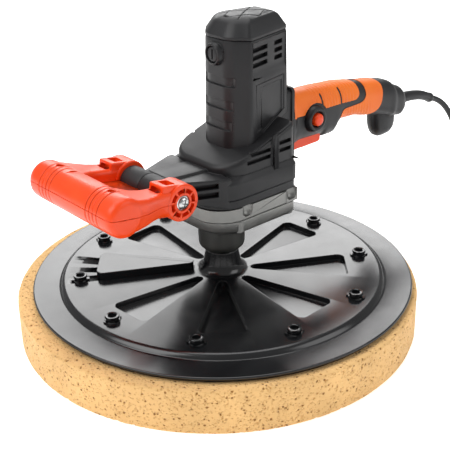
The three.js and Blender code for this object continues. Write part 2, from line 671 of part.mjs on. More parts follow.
const handlePoint = ([x, zc, hh, hw], a, inset = 0) => {
  const power = 2 / HANDLE_SQUARE;
  const c = Math.cos(a);
  const s = Math.sin(a);
  return [
    x,
    (hw - inset) * Math.sign(s) * Math.abs(s) ** power,
    zc + (hh - inset) * Math.sign(c) * Math.abs(c) ** power,
  ];
};

/** Half of the handle, hollow, on the side that sign gives. */
function handleHalf(sign) {
  const STEPS = 9;
  const angles = Array.from({ length: STEPS + 1 }, (_, i) => (i * Math.PI) / STEPS);
  const clear = (p) => [p[0], Math.max(GAP / 2, p[1]), p[2]];
  return loft(
    HANDLE.map((s) => [
      ...angles.map((a) => clear(handlePoint(s, a))),
      ...angles.map((a) => clear(handlePoint(s, Math.PI - a, WALL))),
    ].map(([x, y, z]) => [x, sign * y, z])),
  );
}

const GRIP_FROM = 87;
const GRIP_TO = 229;

function rearHandle() {
  const sections = HANDLE.filter(([x]) => x > 84 && x < 232);
  /** Band over the handle's back, from one inset below its surface to another. */
  const band = (outer, inner, reach, from, to) => {
    const STEPS = 10;
    const angles = Array.from({ length: STEPS + 1 }, (_, i) => reach * Math.PI * ((2 * i) / STEPS - 1));
    const cover = loft(
      sections.map((s) => [
        ...angles.map((a) => handlePoint(s, a, outer)),
        ...angles.map((a) => handlePoint(s, -a, inner)),
      ]),
    );
    return cover.intersect(box(from, to, -60, 60, 0, 400));
  };
  const slot = box(TRIGGER.x0 - 0.6, TRIGGER.x1 + 0.6, -TRIGGER.half - 0.6, TRIGGER.half + 0.6, 140, 178);
  const boreY = turnedY([[0, -40], [BUTTON.r + 0.5, -40], [BUTTON.r + 0.5, 0], [0, 0]], BUTTON.x, BUTTON.z, 20);
  const boss = turnedY([[0, -22], [BUTTON_BOSS_R - 1.5, -22], [BUTTON_BOSS_R, -20.5], [BUTTON_BOSS_R, -15], [0, -15]], BUTTON.x, BUTTON.z, 28);
  const cordBore = turnedX([[0, 226], [5.6, 226], [5.6, 280], [0, 280]], 0, 166, 20);
  const horn = loft(
    [[222, 150, 15, 7], [228, 150, 15, 9.5], [238, 148, 15, 10.5], [246, 150, 13, 9]].map((s) =>
      Array.from({ length: 20 }, (_, i) => handlePoint(s, (i * Math.PI) / 10))),
  );
  const inside = loft(HANDLE.map((s) =>
    Array.from({ length: 24 }, (_, i) => handlePoint(s, (i * Math.PI) / 12, WALL))));
  const hornShell = horn.subtract(inside);
  const skin = band(-0.2, 1.4, 0.6, GRIP_FROM, GRIP_TO);
  const room = band(-4, 2, 0.625, GRIP_FROM - GAP, GRIP_TO + GAP);
  const bossRoom = turnedY([[0, -60], [BUTTON_BOSS_R + GAP, -60], [BUTTON_BOSS_R + GAP, 0], [0, 0]], BUTTON.x, BUTTON.z, 28);
  for (const [name, sign] of [["right", -1], ["left", 1]]) {
    let shell = handleHalf(sign);
    const side = sign < 0 ? box(200, 260, -60, -GAP / 2, 100, 200) : box(200, 260, GAP / 2, 60, 100, 200);
    shell = shell.add(hornShell.intersect(side));
    shell = shell.subtract(room);
    if (sign < 0) shell = shell.add(boss.subtract(inside));
    shell = shell.subtract(boreY).subtract(slot).subtract(cordBore);
    add(`rear_handle_${name}`, shell, MAT.casing);
  }
  add("rear_grip_skin", largest(skin.subtract(bossRoom)), MAT.soft_orange);
}

function controls() {
  const t = TRIGGER;
  const side = new THREE.Shape();
  side.moveTo(t.x0, t.z0 - 1.5);
  side.quadraticCurveTo(t.x0 + 8, t.z0 + 1, t.x0 + 16, t.z0);
  side.lineTo(t.x1 - 3, t.z0 + 0.5);
  side.quadraticCurveTo(t.x1, t.z0 + 1, t.x1, t.z0 + 4);
  side.lineTo(t.x1, t.z1 - 8);
  side.lineTo(t.x0, t.z1 - 8);
  const blade = solid(
    new THREE.ExtrudeGeometry(side, { depth: 2 * t.half, bevelEnabled: false, curveSegments: 5 })
      .rotateX(Math.PI / 2),
  ).translate([0, t.half, 0]);
  add("trigger", blade, MAT.orange);
  const button = turnedY(
    [[0, -24.6], [BUTTON.r - 1.2, -24.6], [BUTTON.r, -23.6], [BUTTON.r, -12], [0, -12]],
    BUTTON.x, BUTTON.z, 24,
  );
  add("lock_button", button, MAT.orange);
  const clear = t.z1 - 8 + TRIGGER_TRAVEL + 1;
  const body = box(98, 124, -12 + BUTTON_TRAVEL + 1, 10, clear, clear + 24);
  add("switch_body", body, MAT.rubber);
}

// ---------------------------------------------------------------- mains cord
const GUARD_ROOT = new THREE.Vector3(257.6, 0, 166);
const CORD_EXIT = new THREE.Vector3(318, 0, 154);

/** Tube along a smooth curve through points, with a round section. */
function tube(points, radius, steps, sides) {
  const curve = new THREE.CatmullRomCurve3(points, false, "centripetal");
  const section = new THREE.Shape().absarc(0, 0, radius, 0, 2 * Math.PI, false);
  return solid(
    new THREE.ExtrudeGeometry(section, {
      steps, extrudePath: curve, curveSegments: sides / 2, bevelEnabled: false,
    }),
  );
}

// The lead's route from the guard's tip to the coil, by hand.
const CORD_ROUTE = [
  [318.4, 0, 153.8], [327, -0.8, 150.6], [336, -2.5, 145], [344, -5, 136.5], [350, -8.5, 125],
  [354.5, -12.5, 111], [358.5, -17, 96], [362.5, -22, 81], [367, -27.5, 66], [372.5, -33, 51.5],
  [379.5, -38, 38], [388.5, -42.2, 27], [399, -46.3, 20], [410, -51, 17.4],
].map((p) => new THREE.Vector3(...p));

function mainsCord() {
  const guard = tube(
    [GUARD_ROOT, new THREE.Vector3(282, 0, 164.6), new THREE.Vector3(300, 0, 160.6), CORD_EXIT],
    5.2, 8, 12,
  );
  add("cord_guard", guard, MAT.rubber);
  add("mains_cord", tube(CORD_ROUTE, CORD_D / 2, 24, 8), MAT.rubber);
  const { x, y, mid, wide, high } = COIL;
  const coil = turned(
    [[mid - wide / 2, 0.2], [mid + wide / 2, 0.2], [mid + wide / 2, high], [mid - wide / 2, high]],
    { x, y, segments: 32 },
  );
  add("cord_coil", coil, MAT.rubber);
}

/** Moulded two-pin plug on its side by the coil, with the short tail that leads to it. */
function plug() {
  const { x, y, z } = PLUG;
  const body = turnedX(
    [[0, x - 40], [18.3, x - 40], [18, x - 28], [13, x - 20], [6, x - 10], [4.5, x], [0, x]],
    y, z, 24,
  );
  const pins = [-9.5, 9.5].map((dy) =>
    turnedX([[0, x - 59], [1.6, x - 59], [2.4, x - 58], [2.4, x - 39], [0, x - 39]], y + dy, z, 12));
  const tail = tube(
    [[x - 2, z], [x + 4, z - 0.4], [x + 9, z - 1.7], [x + 15, z - 3.9], [x + 21, z - 6.1]].map(
      ([px, pz]) => new THREE.Vector3(px, y, pz)),
    CORD_D / 2, 5, 8,
  );
  add("mains_plug", pins.reduce((all, pin) => all.add(pin), body).add(tail), MAT.rubber);
}

pad();
backingPlate();
plateRivets();
gearTrain();
bearing("spindle_bearing_lower", 16 - GAP, SPINDLE_R + GAP, 85, 94, 0);
bearing("spindle_bearing_upper", 16 - GAP, SPINDLE_R + GAP, 104, 113, 0);
bearing("motor_bearing_lower", 11, SHAFT_R + GAP, 145.5, 152.5, MOTOR_X);
bearing("motor_bearing_upper", 11, SHAFT_R + GAP, 282.2, 289.2, MOTOR_X);
gearCase();
housings();
topCap();
brushGear();
motor();
crossbar();
loopHandle();
pivotBolts();
rearHandle();
controls();
mainsCord();
plug();

export default machine;
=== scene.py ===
"""Looks of a powered grout float: sponge pad, moulded plate, gear case, motor tower and two handles.

Pieces are modelled in millimetres and made metres when they are finished.
"""

import math

import bmesh
import bpy
from mathutils import Matrix, Vector, noise


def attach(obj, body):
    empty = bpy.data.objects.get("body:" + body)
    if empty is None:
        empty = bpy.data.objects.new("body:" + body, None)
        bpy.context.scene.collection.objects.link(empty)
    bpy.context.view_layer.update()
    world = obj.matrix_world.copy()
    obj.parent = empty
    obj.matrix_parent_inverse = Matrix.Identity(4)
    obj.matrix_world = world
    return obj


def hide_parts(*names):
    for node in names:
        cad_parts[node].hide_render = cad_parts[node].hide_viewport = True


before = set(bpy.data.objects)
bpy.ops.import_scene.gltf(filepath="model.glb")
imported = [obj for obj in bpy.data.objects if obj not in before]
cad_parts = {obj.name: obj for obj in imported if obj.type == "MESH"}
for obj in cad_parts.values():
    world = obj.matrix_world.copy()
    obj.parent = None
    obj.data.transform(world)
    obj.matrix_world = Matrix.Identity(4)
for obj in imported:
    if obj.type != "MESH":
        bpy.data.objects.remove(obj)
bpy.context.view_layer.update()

MM = 0.001


# ---------------------------------------------------------------- camera
CAMERA_AT = Vector((-0.5479, -0.6356, 0.4995))
CAMERA_LOOKS = Vector((0.5919, 0.6809, -0.4313)).normalized()
CAMERA_ROLL = math.radians(-1.18)
LENS_MM = 76.886


def make_camera():
    right = CAMERA_LOOKS.cross(Vector((0, 0, 1))).normalized()
    up = right.cross(CAMERA_LOOKS)
    turn, rise = math.cos(CAMERA_ROLL), math.sin(CAMERA_ROLL)
    axes = Matrix((right * turn + up * rise, up * turn - right * rise, -CAMERA_LOOKS)).transposed()
    camera = bpy.data.objects.new("camera", bpy.data.cameras.new("camera"))
    camera.matrix_world = Matrix.Translation(CAMERA_AT) @ axes.to_4x4()
    camera.data.lens = LENS_MM
    camera.data.sensor_width = 36
    bpy.context.collection.objects.link(camera)
    bpy.context.scene.camera = camera
    bpy.context.scene.view_settings.view_transform = "Standard"


make_camera()


# ---------------------------------------------------------------- materials
def linear(code):
    """A colour written as sRGB hex, in linear light."""
    channels = [int(code[i : i + 2], 16) / 255 for i in (1, 3, 5)]
    return tuple(c / 12.92 if c <= 0.04045 else ((c + 0.055) / 1.055) ** 2.4 for c in channels) + (1.0,)


def add(tree, kind, inputs=None, **settings):
    """Adds one node; an input is a value or another node's output."""
    made = tree.nodes.new("ShaderNode" + kind)
    for key, value in settings.items():
        setattr(made, key, value)
    for key, value in (inputs or {}).items():
        if isinstance(value, bpy.types.NodeSocket):
            tree.links.new(value, made.inputs[key])
        else:
            made.inputs[key].default_value = value
    return made


def blank(name):
    """An empty material with its output node and Object coordinates."""
    made = bpy.data.materials.new(name)
    made.use_nodes = True
    tree = made.node_tree
    tree.nodes.clear()
    return made, tree, add(tree, "TexCoord").outputs["Object"]


def size(mm):
    """Texture scale whose features are about this many millimetres."""
    return 1 / (mm * MM)


def stops(ramp, *pairs):
    """Sets a colour ramp's stops from (position, colour) pairs."""
    elements = ramp.color_ramp.elements
    while len(elements) < len(pairs):
        elements.new(0.5)
    for element, (at, colour) in zip(elements, pairs):
        element.position, element.color = at, colour


MOTTLE = 25


def surface(
    name, dark, light, roughness, metallic=0.0, ior=1.5, grain=0.9, depth=0.02, gloss_change=0.06,
):
    """A slow colour change between two tones over a fine grain, whose size and depth are in mm."""
    made, tree, place = blank(name)
    slow = add(tree, "TexNoise", {"Vector": place, "Scale": size(MOTTLE), "Detail": 4.0})
    tone = add(tree, "ValToRGB", {"Fac": slow.outputs["Fac"]})
    stops(tone, (0.3, linear(dark)), (0.7, linear(light)))
    fine = add(tree, "TexNoise", {"Vector": place, "Scale": size(grain), "Detail": 3.0, "Roughness": 0.6})
    rough = add(
        tree, "MapRange",
        {"Value": slow.outputs["Fac"], "From Min": 0.3, "From Max": 0.7,
         "To Min": roughness - gloss_change, "To Max": roughness + gloss_change},
    )
    bump = add(tree, "Bump", {"Height": fine.outputs["Fac"], "Distance": depth * MM, "Strength": 1.0})
    shader = add(
        tree, "BsdfPrincipled",
        {"Base Color": tone.outputs["Color"], "Roughness": rough.outputs["Result"], "Metallic": metallic,
         "IOR": ior, "Normal": bump.outputs["Normal"]},
    )
    add(tree, "OutputMaterial", {"Surface": shader.outputs["BSDF"]})
    return made


def foam():
    """Open cell polyurethane sponge, cut from a block: tan and dull, with pores from 1 to 5 mm coloured
    dark brown as painted shade inside them, and the foam between them lightened as a painted highlight.
    """
    made, tree, place = blank("cut_polyurethane_sponge")
    warp = add(tree, "TexNoise", {"Vector": place, "Scale": size(5), "Detail": 2.0})
    # The noise pushes the pores off their round cells by up to 2.2 mm.
    push = (2.2 * MM,) * 3
    bent = add(tree, "VectorMath", {0: warp.outputs["Color"], 1: push}, operation="MULTIPLY")
    pushed = add(tree, "VectorMath", {0: place, 1: bent.outputs["Vector"]}, operation="ADD")
    pores_at = pushed.outputs["Vector"]
    large = add(tree, "TexVoronoi", {"Vector": pores_at, "Scale": size(5.2), "Randomness": 1.0})
    small = add(tree, "TexVoronoi", {"Vector": pores_at, "Scale": size(2.4), "Randomness": 1.0})
    wide = add(tree, "MapRange", {"Value": large.outputs["Distance"], "From Min": 0.1, "From Max": 0.25})
    tight = add(tree, "MapRange", {"Value": small.outputs["Distance"], "From Min": 0.1, "From Max": 0.4})
    part = add(tree, "MapRange", {"Value": tight.outputs["Result"], "To Min": 0.45, "To Max": 1.0})
    solid = add(tree, "Math", {0: wide.outputs["Result"], 1: part.outputs["Result"]}, operation="MULTIPLY")
    crumb = add(tree, "TexNoise", {"Vector": place, "Scale": size(1.1), "Detail": 3.0})
    # Painted shade and highlight: the pores get the dark brown stop for the shade inside them, and the foam
    # farthest from them gets the lightest stop as a painted highlight.
    tone = add(tree, "ValToRGB", {"Fac": solid.outputs["Value"]})
    pore_shade_and_highlight_tones = ((0.0, "#94662E"), (0.35, "#C8914F"), (0.7, "#DFAF6D"), (1.0, "#E8BC7E"))
    stops(tone, *[(at, linear(code)) for at, code in pore_shade_and_highlight_tones])
    slow = add(tree, "TexNoise", {"Vector": place, "Scale": size(45), "Detail": 2.0})
    shade = add(
        tree, "MapRange",
        {"Value": slow.outputs["Fac"], "From Min": 0.3, "From Max": 0.7, "To Min": 0.9, "To Max": 1.06},
    )
    tinted = {0: tone.outputs["Color"], "Scale": shade.outputs["Result"]}
    colour = add(tree, "VectorMath", tinted, operation="SCALE")
    # Crumbs stand a fifth as high as the pores are deep.
    rough = {0: crumb.outputs["Fac"], 1: 0.18, 2: solid.outputs["Value"]}
    height = add(tree, "Math", rough, operation="MULTIPLY_ADD")
    bump = add(tree, "Bump", {"Height": height.outputs["Value"], "Distance": 1.3 * MM, "Strength": 0.9})
    shader = add(
        tree, "BsdfPrincipled",
        {"Base Color": colour.outputs["Vector"], "Roughness": 0.95, "IOR": 1.35, "Sheen Weight": 0.15,
         "Normal": bump.outputs["Normal"]},
    )
    add(tree, "OutputMaterial", {"Surface": shader.outputs["BSDF"]})
    return made


FOAM = foam()
# Injection moulded ABS from a polished tool: near black, shiny, only a trace of flow in the gloss.
PLATE = surface(
    "polished_black_abs", "#0E0F11", "#131416", 0.2, ior=1.53, grain=3.0, depth=0.006, gloss_change=0.03,
)
# Glass filled nylon from a spark eroded tool: charcoal with a fine even grain that spreads highlights.
SHELL = surface("textured_black_nylon", "#151517", "#1A1A1C", 0.46, ior=1.43, grain=0.9, depth=0.035)
SHELL_DARK = surface("black_nylon_in_shadow", "#0B0B0C", "#101011", 0.7, grain=0.9, depth=0.02)
# Die cast aluminium, tumbled: mid grey, dull metal with a sandy skin.
CASTING = surface("tumbled_cast_aluminium", "#7E7E7C", "#8E8E8B", 0.42, 0.85, grain=0.8, depth=0.05)
# The same cast aluminium made darker: painted shade on the spindle collar under the overhanging gear case.
COLLAR = surface("cast_aluminium_painted_shade", "#5B5B59", "#6A6A67", 0.4, 0.85, grain=0.8, depth=0.04)
# Moulded orange nylon of the loop handle and the buttons: red orange with a satin gloss.
ORANGE = surface(
    "satin_orange_nylon", "#E8400A", "#EE480E", 0.34, ior=1.43, grain=1.2, depth=0.02, gloss_change=0.04,
)
# Soft elastomer moulded over the rear grip: yellower orange, dull.
SOFT_ORANGE = surface("orange_grip_elastomer", "#E86A14", "#EC741C", 0.5, ior=1.43, grain=1.0, depth=0.03)
# Rubber bar sleeve, cord sheath and plug: black, dull, slightly dusty.
RUBBER = surface("black_rubber", "#121214", "#18181A", 0.52, ior=1.45, grain=1.0, depth=0.025)
SHEATH = surface("black_pvc_cord_sheath", "#151517", "#1C1C1E", 0.45, ior=1.45, grain=1.5, depth=0.012)
# Zinc plated and ground steel: bright, with soft highlights.
STEEL = surface("zinc_plated_steel", "#B9BABA", "#D0D1D1", 0.28, metallic=1.0, grain=0.7, depth=0.01)
COPPER = surface("enamelled_copper_wire", "#8E4A22", "#B86A34", 0.35, metallic=1.0, grain=1.0, depth=0.08)
IRON = surface("stacked_electrical_steel", "#5E6062", "#707274", 0.45, metallic=0.9, grain=0.6, depth=0.03)
CARBON = surface("pressed_carbon", "#161616", "#242424", 0.6, grain=0.6, depth=0.03)
HOOK = surface("black_hook_pile", "#0D0D0E", "#1A1A1B", 0.9, grain=1.2, depth=0.4)
STRAP = surface("black_hook_strap", "#18181A", "#242427", 0.85, grain=0.9, depth=0.2)


# ---------------------------------------------------------------- shape tools, in millimetres
def draw_out(bm, face, way):
    """Extrudes a lone face along a vector into a closed shape."""
    drawn = bmesh.ops.extrude_face_region(bm, geom=[face])["geom"]
    bmesh.ops.translate(bm, vec=way, verts=[v for v in drawn if isinstance(v, bmesh.types.BMVert)])
    bmesh.ops.recalc_face_normals(bm, faces=bm.faces)
    return bm


def prism(outline, low, high, across="z"):
    """A flat outline drawn out from low to high along z, or along y for an outline in x and z."""
    put = (lambda a, b, h: (a, b, h)) if across == "z" else (lambda a, b, h: (a, h, b))
    bm = bmesh.new()
    face = bm.faces.new([bm.verts.new(put(a, b, low)) for a, b in outline])
    return draw_out(bm, face, put(0, 0, high - low))


def block(x0, x1, y0, y1, z0, z1):
    return prism([(x0, y0), (x1, y0), (x1, y1), (x0, y1)], z0, z1)


def turned(profile, axis="z", at=(0, 0, 0), steps=96, angle=360):
    """A profile of (radius, height) pairs spun about an axis through a point."""
    put = {
        "x": lambda r, h: (h, 0, r),
        "y": lambda r, h: (r, h, 0),
        "z": lambda r, h: (r, 0, h),
    }[axis]
    bm = bmesh.new()
    verts = [bm.verts.new(put(r, h)) for r, h in profile]
    edges = [bm.edges.new(pair) for pair in zip(verts, verts[1:])]
    closed = profile[0][0] > 0
    if closed:
        edges.append(bm.edges.new((verts[-1], verts[0])))
    way = {"x": (1, 0, 0), "y": (0, 1, 0), "z": (0, 0, 1)}[axis]
    full = angle == 360
    bmesh.ops.spin(
        bm, geom=verts + edges, cent=(0, 0, 0), axis=way, dvec=(0, 0, 0),
        angle=math.radians(angle), steps=steps, use_merge=full, use_duplicate=False,
    )
    if not full:
        bmesh.ops.holes_fill(bm, edges=bm.edges, sides=0)
    bmesh.ops.remove_doubles(bm, verts=bm.verts, dist=1e-4)
    bmesh.ops.recalc_face_normals(bm, faces=bm.faces)
    bmesh.ops.translate(bm, vec=at, verts=bm.verts)
    return bm


def skin(rings):
    """A closed surface over rings that have the same number of points."""
    bm = bmesh.new()
    loops = []
    for ring in rings:
        verts = [bm.verts.new(p) for p in ring]
        loops.append([bm.edges.new(pair) for pair in zip(verts, verts[1:] + verts[:1])])
    for near, far in zip(loops, loops[1:]):
        bmesh.ops.bridge_loops(bm, edges=near + far)
    bmesh.ops.holes_fill(bm, edges=loops[0] + loops[-1], sides=0)
    bmesh.ops.recalc_face_normals(bm, faces=bm.faces)
    return bm


def together(*parts):
    """Several shapes in one mesh."""
    whole = bmesh.new()
    for part in parts:
        mesh = bpy.data.meshes.new("part")
        part.to_mesh(mesh)
        whole.from_mesh(mesh)
        bpy.data.meshes.remove(mesh)
    return whole


def loose(bm, name):
    """A temporary object for a boolean."""
    mesh = bpy.data.meshes.new(name)
    bm.to_mesh(mesh)
    made = bpy.data.objects.new(name, mesh)
    bpy.context.collection.objects.link(made)
    return made


def carve(bm, cutters, how="DIFFERENCE"):
    """Cuts shapes out of a shape, or joins or keeps what they share."""
    target = loose(bm, "target")
    tools = [loose(cutter, "cutter") for cutter in cutters]
    for tool in tools:
        step = target.modifiers.new("cut", "BOOLEAN")
        step.object, step.operation, step.solver = tool, how, "EXACT"
    shown = target.evaluated_get(bpy.context.evaluated_depsgraph_get())
    mesh = bpy.data.meshes.new_from_object(shown)
    result = bmesh.new()
    result.from_mesh(mesh)
    for thing in [target, *tools]:
        bpy.data.objects.remove(thing)
    return result


def moved(bm, matrix):
    """A copy of a shape put through a matrix."""
    copy = bm.copy()
    bmesh.ops.transform(copy, matrix=matrix, verts=copy.verts)
    return copy


def placed(bm, matrix):
    """A copy put through a matrix that may mirror it, with its faces turned outwards again."""
    copy = moved(bm, matrix)
    bmesh.ops.recalc_face_normals(copy, faces=copy.faces)
    return copy


def about_z(degrees):
    return Matrix.Rotation(math.radians(degrees), 4, "Z")


def round_edges(bm, pick, radius, segments=4):
    """Rounds the edges that pick chooses from an edge's two ends."""
    edges = [e for e in bm.edges if pick(e.verts[0].co, e.verts[1].co)]
    bmesh.ops.bevel(
        bm, geom=edges, offset=radius, offset_type="OFFSET", segments=segments,
        profile=0.5, affect="EDGES", material=-1, clamp_overlap=True,
    )
    return bm


def upright(a, b):
    return abs(a.z - b.z) > 1 and (a.xy - b.xy).length < 0.3 * abs(a.z - b.z)


def piece(name, bm, body, material, stands_for=(), soften=0.5, crisp=35, segments=2):
    """Turns a shape into a finished object that rides on a body and stands for CAD nodes."""
    bmesh.ops.scale(bm, vec=(MM, MM, MM), verts=bm.verts)
    for face in bm.faces:
        face.smooth = True
    if not soften:
        for edge in bm.edges:
            if len(edge.link_faces) == 2 and edge.calc_face_angle(0) > math.radians(crisp):
                edge.smooth = False
    mesh = bpy.data.meshes.new(name)
    bm.to_mesh(mesh)
    made = bpy.data.objects.new(name, mesh)
    bpy.context.collection.objects.link(made)
    mesh.materials.append(material)
    if soften:
        step = made.modifiers.new("soft edges", "BEVEL")
        step.width, step.segments = soften * MM, segments
        step.limit_method, step.angle_limit = "ANGLE", math.radians(crisp)
        step.harden_normals = True
        step.use_clamp_overlap = False
    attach(made, body)
    if stands_for:
        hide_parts(*([stands_for] if isinstance(stands_for, str) else stands_for))
    return made


# ---------------------------------------------------------------- mains cord
CORD_D = 6.5
COIL_AT = (389, -97.3)
COIL_OUT, COIL_IN = 50.8, 27.0
COIL_LOW, COIL_HIGH = 3.5, 10.2
PLUG_AT = (340, -148.1, 18.5)
CORD_ROUTE = [
    (318.4, 0, 153.8), (327, -0.8, 150.6), (336, -2.5, 145), (344, -5, 136.5), (350, -8.5, 125),
    (354.5, -12.5, 111), (358.5, -17, 96), (362.5, -22, 81), (367, -27.5, 66), (372.5, -33, 51.5),
    (379.5, -38, 38), (388.5, -42.2, 27), (399, -46.3, 20), (410, -51, 17.4),
]


def smooth_path(points, per_span=5):
    """Catmull-Rom points through a route."""
    knots = [Vector(p) for p in points]
    knots = [2 * knots[0] - knots[1], *knots, 2 * knots[-1] - knots[-2]]
    line = []
    for a, b, c, d in zip(knots, knots[1:], knots[2:], knots[3:]):
        for i in range(per_span):
            t = i / per_span
            square, cube = 2 * a - 5 * b + 4 * c - d, 3 * b - a - 3 * c + d
            line.append(0.5 * (2 * b + (c - a) * t + square * t**2 + cube * t**3))
    return [*line, knots[-2]]


def ease(t):
    t = min(1, max(0, t))
    return t * t * (3 - 2 * t)


def coil_path():
    """Two flat layers: inwards on top, down, outwards beneath, all turning clockwise."""
    start = math.atan2(CORD_ROUTE[-1][1] - COIL_AT[1], CORD_ROUTE[-1][0] - COIL_AT[0])
    turns = 7 + (start + math.pi / 2) / (2 * math.pi)
    drop = 0.25
    each = (turns - drop) / 2
    count = int(turns * 40)
    line = []
    for i in range(1, count + 1):
        t = turns * i / count
        inward = min(1, t / each)
        outward = max(0, (t - each - drop) / each)
        radius = COIL_OUT - (COIL_OUT - COIL_IN) * (inward - outward)
        height = COIL_HIGH + (COIL_LOW - COIL_HIGH) * ease((t - each) / drop)
        height += (CORD_ROUTE[-1][2] - COIL_HIGH) * (1 - ease(t / 0.3))
        angle = start - 2 * math.pi * t
        x, y = COIL_AT[0] + radius * math.cos(angle), COIL_AT[1] + radius * math.sin(angle)
        line.append(Vector((x, y, height)))
    return line


def tail_path():
    """From the coil's lower layer along the floor and up into the plug."""
    x0 = COIL_AT[0]
    span = x0 - PLUG_AT[0]
    return [
        Vector((x0 - span * t, PLUG_AT[1], COIL_LOW + (PLUG_AT[2] - COIL_LOW) * ease(t)))
        for t in (i / 14 for i in range(1, 15))
    ]


def make_cord():
    line = [p * MM for p in smooth_path(CORD_ROUTE) + coil_path() + tail_path()]
    curve = bpy.data.curves.new("mains_lead", "CURVE")
    curve.dimensions = "3D"
    curve.bevel_depth = CORD_D / 2 * MM
    curve.bevel_resolution = 3
    curve.use_fill_caps = True
    spline = curve.splines.new("POLY")
    spline.points.add(len(line) - 1)
    for point, place in zip(spline.points, line):
        point.co = (*place, 1)
    curve.materials.append(SHEATH)
    lead = bpy.data.objects.new("mains_lead", curve)
    bpy.context.collection.objects.link(lead)
    length = sum((b - a).length for a, b in zip(line, line[1:]))
    return lead, line, length


def make_plug():
    """Round two pin plug with a flat on each side and a ribbed neck."""
    x, y, z = PLUG_AT
    # radius, distance in front of the neck's end
    shell = [
        (0, 40), (15.5, 40), (16.8, 39), (17.6, 34), (18, 28), (16.8, 24), (13, 20), (8.5, 15), (6.2, 10),
        (5.4, 7.6), (4.9, 7), (5.4, 6.4), (5, 4), (4.6, 3.4), (5, 2.8), (4.7, 0), (0, 0),
    ]
    pin = [(0, 59), (1.5, 58.8), (2.3, 57.6), (2.3, 39.5), (0, 39.5)]
    body = turned([(radius, x - ahead) for radius, ahead in shell], "x", (0, y, z), 48)
    sides = ((-30, -14.6), (14.6, 30))
    flats = [block(x - 38, x - 22, y + low, y + high, z - 30, z + 30) for low, high in sides]
    body = carve(body, flats)
    pin = [(radius, x - ahead) for radius, ahead in pin]
    pins = together(*[turned(pin, "x", (0, y + apart, z), 20) for apart in (-9.5, 9.5)])
    plug = piece("plug_body", body, "housing", RUBBER, "mains_plug", 0.6)
    prongs = piece("plug_pins", pins, "housing", STEEL, (), 0)
    return plug, prongs


def make_tie():
    """Hook strap round the coil's section, on the side away from the tail."""
    inner = [(23, 0.25), (55, 0.25), (55, 13.6), (23, 13.6)]
    outer = [(22, 0.02), (56, 0.02), (56, 14.5), (22, 14.5)]
    band = prism(outer, -7, 7, "y")
    round_edges(band, lambda a, b: abs(a.y - b.y) > 5 and a.z > 5, 3)
    hole = prism(inner, -9, 9, "y")
    round_edges(hole, lambda a, b: abs(a.y - b.y) > 5 and a.z > 5, 2.4)
    band = carve(band, [hole])
    turn = Matrix.Translation((*COIL_AT, 0)) @ about_z(150)
    return piece("cord_tie", moved(band, turn), "housing", STRAP, (), 0)


lead, lead_path, lead_length = make_cord()
plug, prongs = make_plug()
tie = make_tie()
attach(lead, "housing")
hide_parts("mains_cord", "cord_coil")


# ---------------------------------------------------------------- pad and plate
SPONGE_AT = (-5, 2)
SPONGE_R, SPONGE_H = 195, 42


def make_sponge():
    """Cut foam disc whose side is pitted with real pores."""
    edge = 1.8
    side = [(SPONGE_R, edge + (SPONGE_H - 2 * edge) * i / 34) for i in range(35)]
    profile = [
        (0, 0), (60, 0), (120, 0), (170, 0), (190, 0), (SPONGE_R - edge, 0), (SPONGE_R - 0.5, 0.5), *side,
        (SPONGE_R - 0.5, SPONGE_H - 0.5), (SPONGE_R - edge, SPONGE_H), (190, SPONGE_H), (186, SPONGE_H),
        (180, SPONGE_H), (120, SPONGE_H), (0, SPONGE_H),
    ]
    bm = turned(profile, "z", (*SPONGE_AT, 0), 1000)
    for vert in bm.verts:
        out = Vector((vert.co.x - SPONGE_AT[0], vert.co.y - SPONGE_AT[1], 0))
        if out.length < SPONGE_R - 3:
            continue
        warp = noise.noise_vector(vert.co / 7) * 1.6
        near = noise.voronoi((vert.co + warp) / 6.4)[0][0]
        fine = noise.voronoi((vert.co + warp) / 3.6)[0][0]
        pit = 1.4 * (1 - ease((near - 0.08) / 0.2)) + 0.5 * (1 - ease((fine - 0.1) / 0.3))
        wave = 0.35 * noise.noise(vert.co / 22)
        vert.co -= out.normalized() * (pit + 0.4 + wave)
    pad = piece("sponge_disc", bm, "spindle", FOAM, "sponge_pad", 0, 60)


POCKET_IN, POCKET_OUT, POCKET_HALF = 30, 122, 22


def pocket():
    """Tapering recess between two spokes, along +x."""
    outline = [
        (POCKET_IN, -4), (POCKET_OUT - 5, -POCKET_HALF), (POCKET_OUT, -POCKET_HALF + 4),
        (POCKET_OUT, POCKET_HALF - 4), (POCKET_OUT - 5, POCKET_HALF), (POCKET_IN, 4), (POCKET_IN - 2.4, 0),
    ]
    cut = prism(outline, 46.8, 60)
    round_edges(cut, upright, 2.5, 3)
    round_edges(cut, lambda a, b: a.z < 47 and b.z < 47, 1.6, 3)
    return cut


def make_plate():
    """Moulded plate: thin rim, raised middle inside a sloping step, eight pockets and a flared hub."""
    profile = [
        (8.2, 45), (184, 45), (185, 45.6), (185, 47.2), (184.2, 48), (160.5, 48), (159, 48.3),
        (156.8, 51.3), (155, 52.3), (153, 52.5), (27, 52.5), (23.4, 53.2), (21, 55.2), (19.4, 58),
        (18.2, 62), (17.2, 67), (16.4, 71), (16, 74.6), (15.2, 75.4), (8.2, 75.4),
    ]
    bm = turned(profile, "z", (0, 0, 0), 240)
    cuts = [moved(pocket(), about_z(229 + 45 * i)) for i in range(8)]
    bm = carve(bm, cuts)
    piece("backing_plate_moulding", bm, "spindle", PLATE, "backing_plate", 0.7, 32, 3)


STUD_RING, STUD_BASE, STUD_COUNT = 139, 52.7, 10


